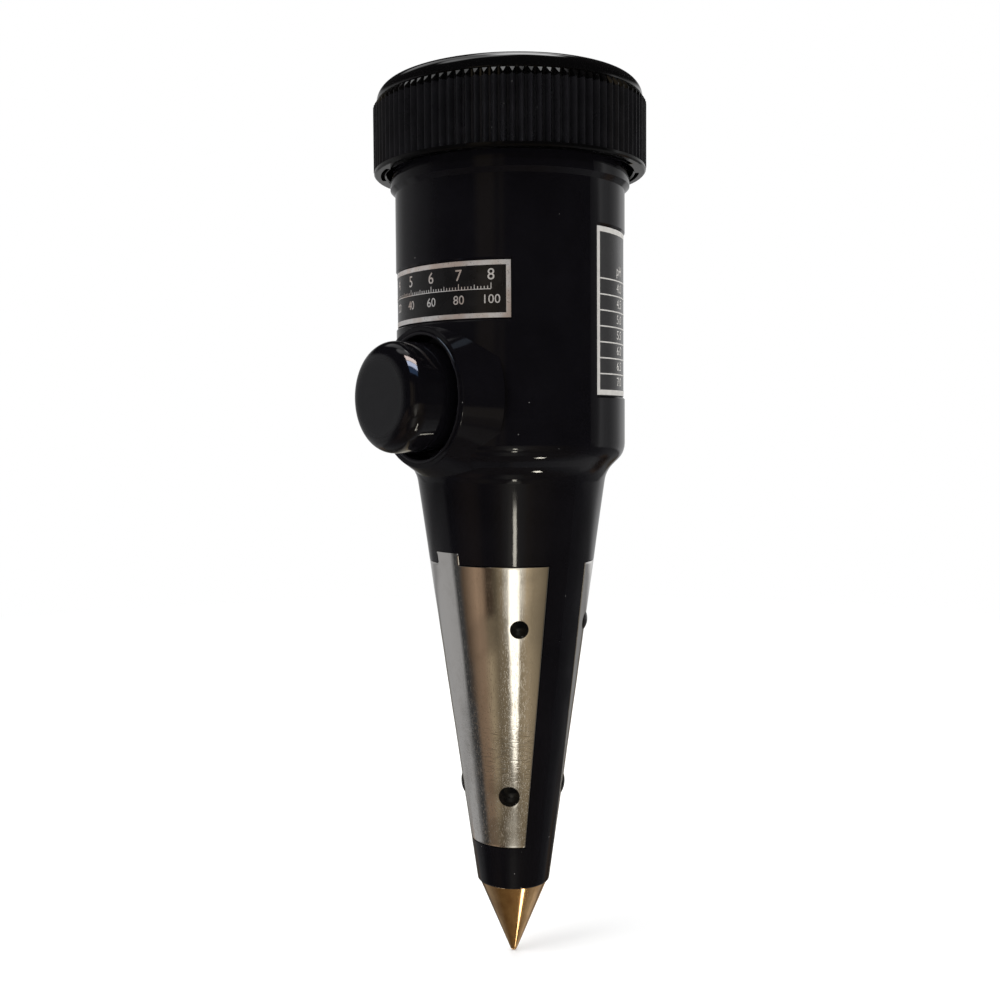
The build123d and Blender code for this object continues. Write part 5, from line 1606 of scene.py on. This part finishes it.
@dataclass
class Movement:
    """Moving-coil meter under the dial, the push switch and the wiring inside the case."""

    coil_r: float = 4.9
    wire_r: float = 0.35
    wire_sides: int = 12
    coil_turns: int = 6
    turn_steps: int = 40
    press: float = 3.0
    finishes: dict[str, Finish] = field(
        default_factory=lambda: {
            "meter_frame": FRAME_PLASTIC,
            "meter_terminals": BRIDGE_BRASS,
            "yoke_ring": YOKE,
            "core_magnet": MAGNET,
            "core_stays": BRIDGE_BRASS,
            "upper_bridge": BRIDGE_BRASS,
            "lower_bridge": BRIDGE_BRASS,
            "bridge_pillars": BRIDGE_BRASS,
            "bridge_screws": SMALL_STEEL,
            "jewel_screws": SMALL_STEEL,
            "coil_former": ALLOY,
            "coil_winding": COPPER,
            "upper_pivot": SMALL_STEEL,
            "lower_pivot": SMALL_STEEL,
            "upper_hairspring": BRONZE,
            "lower_hairspring": BRONZE,
            "push_button": BUTTON,
            "button_clip": SMALL_STEEL,
            "contact_bridge": BRONZE,
            "switch_contacts": BRONZE,
            "circuit_board": LAMINATE,
            "board_screws": SMALL_STEEL,
            "resistors": RESISTOR,
            "front_lead": LEAD_RED,
            "rear_lead": LEAD_BLACK,
            "tip_lead": LEAD_YELLOW,
            "left_meter_lead": LEAD_RED,
            "right_meter_lead": LEAD_BLACK,
        }
    )

    def build(self) -> None:
        """Dresses every piece of the movement, switch and wiring, and winds the button's spring."""
        for node, finish in self.finishes.items():
            dress(node, finish)
        self.wind_spring()

    def wind_spring(self) -> None:
        """Return spring behind the button.

        A circle of the wire's radius is carried along a helix about the button's axis: at angle t the line
        lies at the coil's radius and as far out as t is of all its turns. Both ends of the wire close to a
        point.
        """
        low, high = (np.array(corner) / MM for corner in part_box("return_spring"))
        deep, reach = high[1] - self.wire_r, low[1] - high[1] + 2 * self.wire_r
        axis_z = (low[2] + high[2]) / 2
        full = FULL_TURN * self.coil_turns
        turn = np.linspace(0, full, self.turn_steps * self.coil_turns + 1)
        turn = np.concatenate([turn[:1], turn, turn[-1:]])[:, None]
        wire = np.full(turn.shape, self.wire_r)
        wire[[0, -1]] = 0.0
        around = circle(self.wire_sides)[None, :]
        still = np.zeros_like(turn)
        out = np.stack([np.cos(turn), still, np.sin(turn)], axis=-1)
        swing = np.stack([-np.sin(turn), still, np.cos(turn)], axis=-1)
        ahead = self.coil_r * swing + np.array([0.0, reach / full, 0.0])
        across = np.cross(ahead / np.linalg.norm(ahead, axis=-1, keepdims=True), out)
        middle = np.stack([still, deep + reach * turn / full, still + axis_z], axis=-1)
        ring = np.cos(around)[..., None] * out + np.sin(around)[..., None] * across
        points = (middle + self.coil_r * out + wire[..., None] * ring).reshape(-1, 3)
        coil = points, grid_faces(len(turn), around.size, wrap_columns=True)
        piece = make_piece("return_coil", coil, SMALL_STEEL, Body.CASE, smooth_angle=60.0)
        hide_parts("return_spring")
        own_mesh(piece)


def heading(ways: Sequence[Sequence[float]]) -> np.ndarray:
    """Unit directions from azimuths to the right of the camera and elevations, in degrees.

    The first axis points right, the second away from the camera and the third up.
    """
    side, rise = np.radians(np.asarray(ways, float)).T
    return np.stack([np.cos(rise) * np.sin(side), -np.cos(rise) * np.cos(side), np.sin(rise)], axis=-1)


def eased(share: np.ndarray) -> np.ndarray:
    """Share held from 0 to 1 and smoothed at both ends."""
    held = np.clip(share, 0, 1)
    return held * held * (3 - 2 * held)


@dataclass(frozen=True)
class Glow:
    """Soft stroke of light on the surround, from one direction to another.

    Directions are an azimuth to the right of the camera, as the part sees it, and an elevation, in degrees.
    The light is full within the radius of the stroke and eases to nothing over the softness beyond it.
    """

    start: Pair
    end: Pair
    radius: float
    soft: float
    light: Color

    def paint(self, ways: np.ndarray, light: np.ndarray) -> np.ndarray:
        """Lays the stroke over the light of each direction.

        Args:
            ways: unit directions.
            light: light of each so far.

        Returns:
            Light of each with this layer.
        """
        first, last = heading([self.start, self.end])
        reach = last - first
        along = np.clip((ways - first) @ reach / max(float(reach @ reach), 1e-9), 0, 1)
        near = first + along[:, None] * reach
        near /= np.linalg.norm(near, axis=1, keepdims=True)
        gap = np.degrees(np.arccos(np.clip((ways * near).sum(1), -1, 1)))
        share = eased(1 - (gap - self.radius) / self.soft)[:, None]
        return light + share * (np.array(self.light) - light)


@dataclass(frozen=True)
class Belt:
    """Belt of the surround between two elevations, lit by marks at azimuths in degrees.

    The light runs straight from mark to mark, round the whole turn, and eases out beyond the belt's edges.
    """

    elevation: Pair
    soft: Pair
    marks: tuple[tuple[float, Color], ...]

    def paint(self, ways: np.ndarray, light: np.ndarray) -> np.ndarray:
        """Lays the belt over the light of each direction.

        Args:
            ways: unit directions.
            light: light of each so far.

        Returns:
            Light of each with this layer.
        """
        side = np.degrees(np.arctan2(ways[:, 0], -ways[:, 1]))
        rise = np.degrees(np.arcsin(np.clip(ways[:, 2], -1, 1)))
        places = [place for place, _ in self.marks]
        tones = np.array([tone for _, tone in self.marks])
        own = np.stack([np.interp(side, places, tones[:, c], period=360.0) for c in range(3)], axis=1)
        low = eased(1 - (self.elevation[0] - rise) / self.soft[0])
        high = eased(1 - (rise - self.elevation[1]) / self.soft[1])
        return light + (low * high)[:, None] * (own - light)


class Tone(Enum):
    """Tints of the surround's light."""

    PLAIN = (1.0, 1.0, 1.0)
    CREAM = (1.0, 0.95, 0.82)
    GOLD = (1.0, 0.8, 0.52)
    BROWN = (1.0, 0.69, 0.46)
    BLUE = (0.75, 0.92, 1.15)

    def at(self, light: float) -> Color:
        """Light of this strength in the tint."""
        return tuple(light * part for part in self.value)


def marks(tone: Tone, *steps: Pair) -> tuple[tuple[float, Color], ...]:
    """Marks of one tint for a belt, each given as its azimuth and its strength."""
    return tuple((azimuth, tone.at(light)) for azimuth, light in steps)


# Marks behind the part that the two lowest belts share.
LOW_FAR_LEFT = (
    *marks(Tone.CREAM, (-176, 0.8), (-166, 0.12), (-154, 0.1)),
    *marks(Tone.PLAIN, (-138, 0.28), (-110, 0.18)),
)
LOW_FAR_RIGHT = (
    *marks(Tone.PLAIN, (93, 0.3), (122, 0.5), (138, 0.4)),
    *marks(Tone.GOLD, (148, 0.1), (160, 0.3), (174, 0.8)),
)


@dataclass
class Surround:
    """Dome of soft light round the set that only gloss and metal mirror, its belts from the floor up."""

    radius: float = 1.5
    rows: int = 241
    columns: int = 480
    base: Color = (0.02, 0.019, 0.019)
    belts: tuple[Belt, ...] = (
        Belt((-90, -40), (1, 12), (
            *LOW_FAR_LEFT,
            *marks(Tone.GOLD, (-80, 0.115), (-23, 0.17), (15, 0.2), (67, 0.2)),
            *LOW_FAR_RIGHT,
        )),
        Belt((-53, -39), (4, 4), (
            *LOW_FAR_LEFT,
            *marks(Tone.BROWN, (-80, 0.115), (-62, 0.32), (-48, 0.36), (-37, 0.08), (-27, 0.09)),
            *marks(Tone.CREAM, (-14, 0.42), (-6, 0.95), (4, 1.0), (12, 0.6)),
            *marks(Tone.GOLD, (24, 0.34), (40, 0.2), (67, 0.2)),
            *LOW_FAR_RIGHT,
        )),
        Belt((-31, -27), (6, 5), (
            *marks(Tone.CREAM, (-178, 0.95), (-171, 0.3), (-165, 0.08), (-155, 0.1)),
            *marks(Tone.BROWN, (-146, 0.34)),
            *marks(Tone.PLAIN, (-132, 0.5), (-119, 0.46), (-103, 0.42)),
            *marks(Tone.PLAIN, (-96, 0.22), (-85, 0.06), (-75, 0.06)),
            *marks(Tone.BROWN, (-65, 0.24), (-50, 0.3)),
            *marks(Tone.GOLD, (-36, 0.42), (-23, 0.2), (-10, 0.24)),
            *marks(Tone.CREAM, (3, 0.5)),
            *marks(Tone.GOLD, (14, 0.32), (29, 0.42), (60, 0.15)),
            *marks(Tone.PLAIN, (90, 0.15), (118, 0.3)),
            *marks(Tone.BROWN, (128, 0.34), (137, 0.1), (147, 0.07)),
            *marks(Tone.GOLD, (156, 0.3), (166, 0.4), (173, 0.95)),
        )),
        Belt((-22, -14), (6, 5), (
            *marks(Tone.CREAM, (-178, 0.9), (-172, 0.3), (-166, 0.12), (-160, 0.2)),
            *marks(Tone.PLAIN, (-150, 0.4), (-122, 0.44), (-95, 0.42), (-88, 0.06), (-82, 0.06)),
            *marks(Tone.BROWN, (-74, 0.12), (-64, 0.26), (-54, 0.4), (-45, 0.33), (-37, 0.07), (-31, 0.07)),
            *marks(Tone.GOLD, (-24, 0.13), (-15, 0.34)),
            *marks(Tone.CREAM, (-8, 0.8), (-3, 1.15), (8, 1.15), (13, 0.92)),
            *marks(Tone.GOLD, (22, 0.62), (31, 0.36), (41, 0.29), (60, 0.1)),
            *marks(Tone.PLAIN, (90, 0.12), (118, 0.3), (142, 0.3), (152, 0.26)),
            *marks(Tone.GOLD, (160, 0.12), (167, 0.1), (174, 0.6)),
        )),
        Belt((-9, 17), (4, 9), (
            *marks(Tone.PLAIN, (-176, 0.5), (-150, 0.42), (-140, 0.4), (-128, 0.36), (-112, 0.44)),
            *marks(Tone.PLAIN, (-90, 0.36), (-76, 0.13), (-58, 0.03), (-36, 0.03)),
            *marks(Tone.GOLD, (-29, 0.42), (-17, 0.42), (-12, 0.1), (-8, 0.3), (-3, 0.03)),
            *marks(Tone.PLAIN, (82, 0.05), (89, 0.2), (94, 0.55), (99, 1.3), (106, 0.76), (114, 0.5)),
            *marks(Tone.PLAIN, (123, 0.58), (132, 0.7), (142, 0.95), (158, 0.7), (172, 0.5)),
        )),
    )
    glows: tuple[Glow, ...] = (
        Glow((52, -63.5), (52, -63.5), 1.5, 2.5, Tone.CREAM.at(11.0)),
        Glow((2, -24.5), (5, -27), 3.8, 4.5, Tone.CREAM.at(2.2)),
        Glow((-92.5, 67), (-110.6, 81.5), 5.0, 6.0, Tone.PLAIN.at(1.9)),
        Glow((-110.6, 81.5), (172.4, 59.7), 7.0, 6.0, Tone.PLAIN.at(1.7)),
        Glow((-169.7, 78.8), (142.4, 73.6), 4.0, 7.0, Tone.PLAIN.at(6.0)),
        Glow((-135, 72), (-140, 50), 5.0, 7.0, Tone.PLAIN.at(0.8)),
    )

    def build(self, view_azimuth: float, center: Sequence[float]) -> None:
        """Builds the dome as a sphere with its light on its points.

        Args:
            view_azimuth: azimuth of the camera in degrees from -Y towards +X.
            center: middle of the sphere in metres.
        """
        azimuths, elevations = np.linspace(-180, 180, self.columns, False), np.linspace(-90, 90, self.rows)
        side, rise = np.meshgrid(azimuths, elevations)
        grid = np.stack([side.ravel(), rise.ravel()], axis=1)
        ways = heading(grid)
        light = np.broadcast_to(np.array(self.base), ways.shape)
        for layer in (*self.belts, *self.glows):
            light = layer.paint(ways, light)
        grid[:, 0] += view_azimuth
        mesh = bpy.data.meshes.new("surround")
        points = np.array(center) + self.radius * heading(grid)
        faces = grid_faces(self.rows, self.columns, wrap_columns=True)
        mesh.from_pydata(points.tolist(), [], faces.tolist())
        tones = mesh.color_attributes.new("light", "FLOAT_COLOR", "POINT")
        shades = np.column_stack([light, np.ones(len(light))])
        tones.data.foreach_set("color", shades.astype(np.float32).ravel())
        tree = ShaderTree("surround_light")
        tree.nodes.remove(tree.shader)
        source = tree.nodes.new("ShaderNodeAttribute")
        source.attribute_name = "light"
        glow = tree.add("ShaderNodeEmission", Color=source.outputs["Color"], Strength=1.0)
        tree.links.new(glow.outputs[0], tree.output.inputs["Surface"])
        mesh.materials.append(tree.material)
        dome = bpy.data.objects.new("surround", mesh)
        bpy.context.scene.collection.objects.link(dome)
        dome.visible_camera = False
        dome.visible_diffuse = False
        dome.visible_shadow = False
        dome.visible_transmission = False


@dataclass(frozen=True)
class Lamp:
    """Soft square lamp that lights the part but isn't mirrored in it.

    Its aim is an azimuth to the right of the camera and an elevation in degrees, its distance and size are
    in metres, and its power is in watts.
    """

    name: str
    aim: Pair
    distance: float
    size: float
    power: float


@dataclass(frozen=True)
class Glint:
    """Small lamp that only the gloss of some pieces mirrors.

    Its aim is an azimuth to the right of the camera and an elevation, its spread a width and a height, all
    in degrees as the part sees it.
    """

    name: str
    aim: Pair
    spread: Pair
    light: Color
    pieces: tuple[str, ...]


@dataclass
class Studio:
    """White set: camera, floor, world, soft lamps and the surround that the gloss reflects."""

    view_azimuth: float = 49.015
    distance: float = 0.225278
    height: float = 0.097518
    pitch: float = 3.1468
    yaw: float = -2.7148
    roll: float = -0.485
    focal_px: float = 1216.906
    shift: float = 0.0464
    image_px: float = 1000.0
    sensor: float = 36.0
    middle: Triple = (0.0, 0.0, 0.085)
    near_clip: float = 0.01
    fill: float = 0.5
    floor_r: Pair = (0.02, 6.0)
    floor_rings: int = 24
    floor_sides: int = 64
    floor_fade: Pair = (0.12, 0.5)
    floor_lift: float = 0.12
    paper: tuple[Color, Color] = ((0.93, 0.93, 0.93), (0.95, 0.95, 0.95))
    surround: Surround = field(default_factory=Surround)
    lamps: tuple[Lamp, ...] = (
        Lamp("lamp_key", aim=(-60, 55), distance=1.1, size=0.7, power=7.5),
        Lamp("lamp_fill", aim=(70, 35), distance=1.3, size=0.9, power=5.0),
        Lamp("lamp_back", aim=(180, 50), distance=1.2, size=0.8, power=5.0),
    )
    glint_distance: float = 1.2
    glints: tuple[Glint, ...] = (
        Glint("glint_cone", (4.5, -21.3), (4.0, 3.6), Tone.CREAM.at(60.0), ("housing",)),
        Glint("glint_brow", (4, -33), (4, 5), Tone.CREAM.at(40.0), ("housing",)),
        Glint("glint_shoulder", (52, -63.5), (6, 6), Tone.CREAM.at(90.0), ("housing",)),
        Glint("glint_rose", (2, 73), (38, 12), (30.0, 25.0, 23.5), ("push_button",)),
        Glint("glint_pale", (2, 60), (40, 12), (21.0, 23.5, 31.0), ("push_button",)),
        Glint("glint_dusk", (0, 47), (38, 12), (0.8, 1.5, 3.0), ("push_button",)),
        Glint("glint_boss", (4, 74), (3.5, 9), Tone.BLUE.at(1.5), ("housing",)),
        Glint("glint_lip", (-65, 40), (32, 16), Tone.BLUE.at(17.0), ("well_lip",)),
        Glint("glint_tip", (-128, -70), (4, 22), Tone.CREAM.at(9.0), ("probe_tip",)),
        Glint("glint_low", (38, -59), (3.5, 15), Tone.CREAM.at(25.0), ("push_button",)),
    )

    def build(self) -> None:
        """Builds the whole set."""
        bpy.context.scene.view_settings.view_transform = "Standard"
        self.aim_camera()
        self.lay_floor()
        self.light_world()
        self.surround.build(self.view_azimuth, self.middle)
        for lamp in self.lamps:
            self.hang_lamp(lamp)
        for glint in self.glints:
            self.hang_glint(glint)

    def level_way(self, azimuth: float) -> Vector:
        """Level direction at an azimuth to the right of the camera."""
        a = math.radians(self.view_azimuth + azimuth)
        return Vector((math.sin(a), -math.cos(a), 0.0))

    def aim_camera(self) -> None:
        """Sets the camera where the photograph was taken: yaw, then pitch, then roll."""
        pitch, yaw, roll = (math.radians(a) for a in (self.pitch, self.yaw, self.roll))
        inward = -self.level_way(0.0)
        right = self.level_way(90.0)
        up = Vector((0.0, 0.0, 1.0))
        level = math.cos(yaw) * inward + math.sin(yaw) * right
        right = math.cos(yaw) * right - math.sin(yaw) * inward
        ahead = math.cos(pitch) * level - math.sin(pitch) * up
        upright = math.sin(pitch) * level + math.cos(pitch) * up
        across_axis = math.cos(roll) * right + math.sin(roll) * upright
        up_axis = math.cos(roll) * upright - math.sin(roll) * right
        data = bpy.data.cameras.new("camera")
        data.sensor_width = self.sensor
        data.lens = self.sensor * self.focal_px / self.image_px
        data.shift_x = self.shift
        data.clip_start = self.near_clip
        camera = bpy.data.objects.new("camera", data)
        turn = Matrix((across_axis, up_axis, -ahead)).transposed().to_4x4()
        place = self.level_way(0.0) * self.distance + up * self.height
        camera.matrix_world = Matrix.Translation(place) @ turn
        bpy.context.scene.collection.objects.link(camera)
        bpy.context.scene.camera = camera

    def lay_floor(self) -> None:
        """Pale round floor under the tip that keeps the part's shadow and fades to white far off."""
        rings = np.concatenate([[0.0], np.geomspace(*self.floor_r, self.floor_rings)])[:, None]
        turn = circle(self.floor_sides)[None, :]
        x, y = rings * np.cos(turn), rings * np.sin(turn)
        points = np.stack([x, y, np.zeros_like(x)], axis=-1).reshape(-1, 3)
        faces = grid_faces(rings.size, self.floor_sides, wrap_columns=True)
        mesh = bpy.data.meshes.new("floor")
        mesh.from_pydata(points.tolist(), [], faces.tolist())
        tree = ShaderTree("floor_paper")
        tree.nodes.remove(tree.shader)
        here = tree.place()
        far = tree.add("ShaderNodeVectorMath", Vector=here)
        far.operation = "LENGTH"
        fade = tree.span(far.outputs["Value"], *self.floor_fade, 0.0, 1.0)
        grain = tree.clouds(here, size=2.0, reach=(0.3, 0.7), detail=3.0)
        paper = tree.add("ShaderNodeBsdfDiffuse", Color=tree.mix(grain, *self.paper))
        glow = tree.add("ShaderNodeEmission", Strength=1.0)
        lift = tree.add("ShaderNodeEmission", Strength=self.floor_lift)
        seen = tree.nodes.new("ShaderNodeLightPath").outputs["Is Camera Ray"]
        near = tree.nodes.new("ShaderNodeAddShader")
        blend = tree.nodes.new("ShaderNodeMixShader")
        shown = tree.nodes.new("ShaderNodeMixShader")
        for source, target in (
            (paper.outputs[0], near.inputs[0]),
            (lift.outputs[0], near.inputs[1]),
            (fade, blend.inputs[0]),
            (near.outputs[0], blend.inputs[1]),
            (glow.outputs[0], blend.inputs[2]),
            (seen, shown.inputs[0]),
            (paper.outputs[0], shown.inputs[1]),
            (blend.outputs[0], shown.inputs[2]),
            (shown.outputs[0], tree.output.inputs["Surface"]),
        ):
            tree.links.new(source, target)
        mesh.materials.append(tree.material)
        floor = bpy.data.objects.new("floor", mesh)
        floor.visible_glossy = False
        bpy.context.scene.collection.objects.link(floor)

    def light_world(self) -> None:
        """White world for the camera, gloss and glass, and an even soft fill for the rest."""
        world = bpy.data.worlds.new("set")
        bpy.context.scene.world = world
        world.cycles.sampling_method = "NONE"
        world.use_nodes = True
        nodes, links = world.node_tree.nodes, world.node_tree.links
        nodes.clear()
        path = nodes.new("ShaderNodeLightPath")
        direct = nodes.new("ShaderNodeMath")
        direct.operation = "ADD"
        links.new(path.outputs["Is Camera Ray"], direct.inputs[0])
        links.new(path.outputs["Is Glossy Ray"], direct.inputs[1])
        seen = nodes.new("ShaderNodeMath")
        seen.operation = "ADD"
        seen.use_clamp = True
        links.new(direct.outputs[0], seen.inputs[0])
        links.new(path.outputs["Is Transmission Ray"], seen.inputs[1])
        shades = []
        for strength in (self.fill, 1.0):
            shade = nodes.new("ShaderNodeBackground")
            shade.inputs["Color"].default_value = (1.0, 1.0, 1.0, 1.0)
            shade.inputs["Strength"].default_value = strength
            shades.append(shade)
        choice = nodes.new("ShaderNodeMixShader")
        links.new(seen.outputs[0], choice.inputs[0])
        links.new(shades[0].outputs[0], choice.inputs[1])
        links.new(shades[1].outputs[0], choice.inputs[2])
        output = nodes.new("ShaderNodeOutputWorld")
        links.new(choice.outputs[0], output.inputs["Surface"])

    def hang(self, data: bpy.types.Light, aim: Pair, distance: float) -> bpy.types.Object:
        """Hangs a light so that it faces the middle of the part.

        Args:
            data: the light.
            aim: azimuth to the right of the camera and elevation, in degrees.
            distance: distance from the middle of the part in metres.

        Returns:
            The light's object.
        """
        rise = math.radians(aim[1])
        out = self.level_way(aim[0]) * math.cos(rise) + Vector((0.0, 0.0, math.sin(rise)))
        hung = bpy.data.objects.new(data.name, data)
        hung.location = Vector(self.middle) + out * distance
        hung.rotation_mode = "QUATERNION"
        hung.rotation_quaternion = (-out).to_track_quat("-Z", "Y")
        bpy.context.scene.collection.objects.link(hung)
        return hung

    def hang_lamp(self, lamp: Lamp) -> None:
        """Hangs a soft lamp and keeps it out of the gloss.

        Args:
            lamp: the lamp.
        """
        data = bpy.data.lights.new(lamp.name, "AREA")
        data.size = lamp.size
        data.energy = lamp.power
        self.hang(data, lamp.aim, lamp.distance).visible_glossy = False

    def hang_glint(self, glint: Glint) -> None:
        """Hangs a small lamp and links it to the pieces that mirror it.

        Args:
            glint: the lamp.
        """
        data = bpy.data.lights.new(glint.name, "AREA")
        data.shape = "RECTANGLE"
        half_angles = (math.radians(angle) / 2 for angle in glint.spread)
        data.size, data.size_y = (2 * self.glint_distance * math.tan(half) for half in half_angles)
        strongest = max(glint.light)
        data.color = [part / strongest for part in glint.light]
        data.energy = strongest * math.pi * data.size * data.size_y
        hung = self.hang(data, glint.aim, self.glint_distance)
        hung.visible_camera = False
        hung.visible_diffuse = False
        hung.visible_transmission = False
        group = bpy.data.collections.new(glint.name)
        for piece in glint.pieces:
            group.objects.link(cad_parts.get(piece) or bpy.data.objects[piece])
        hung.light_linking.receiver_collection = group


def main() -> None:
    """Builds the set and every sub-assembly."""
    logging.basicConfig(level=logging.INFO, format="%(name)s: %(message)s")
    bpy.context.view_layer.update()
    for assembly in (Barrel(), Probe(), Bezel(), Dial(), Movement(), Studio()):
        assembly.build()
        LOG.info("built %s", type(assembly).__name__)


if __name__ == "__main__":
    main()
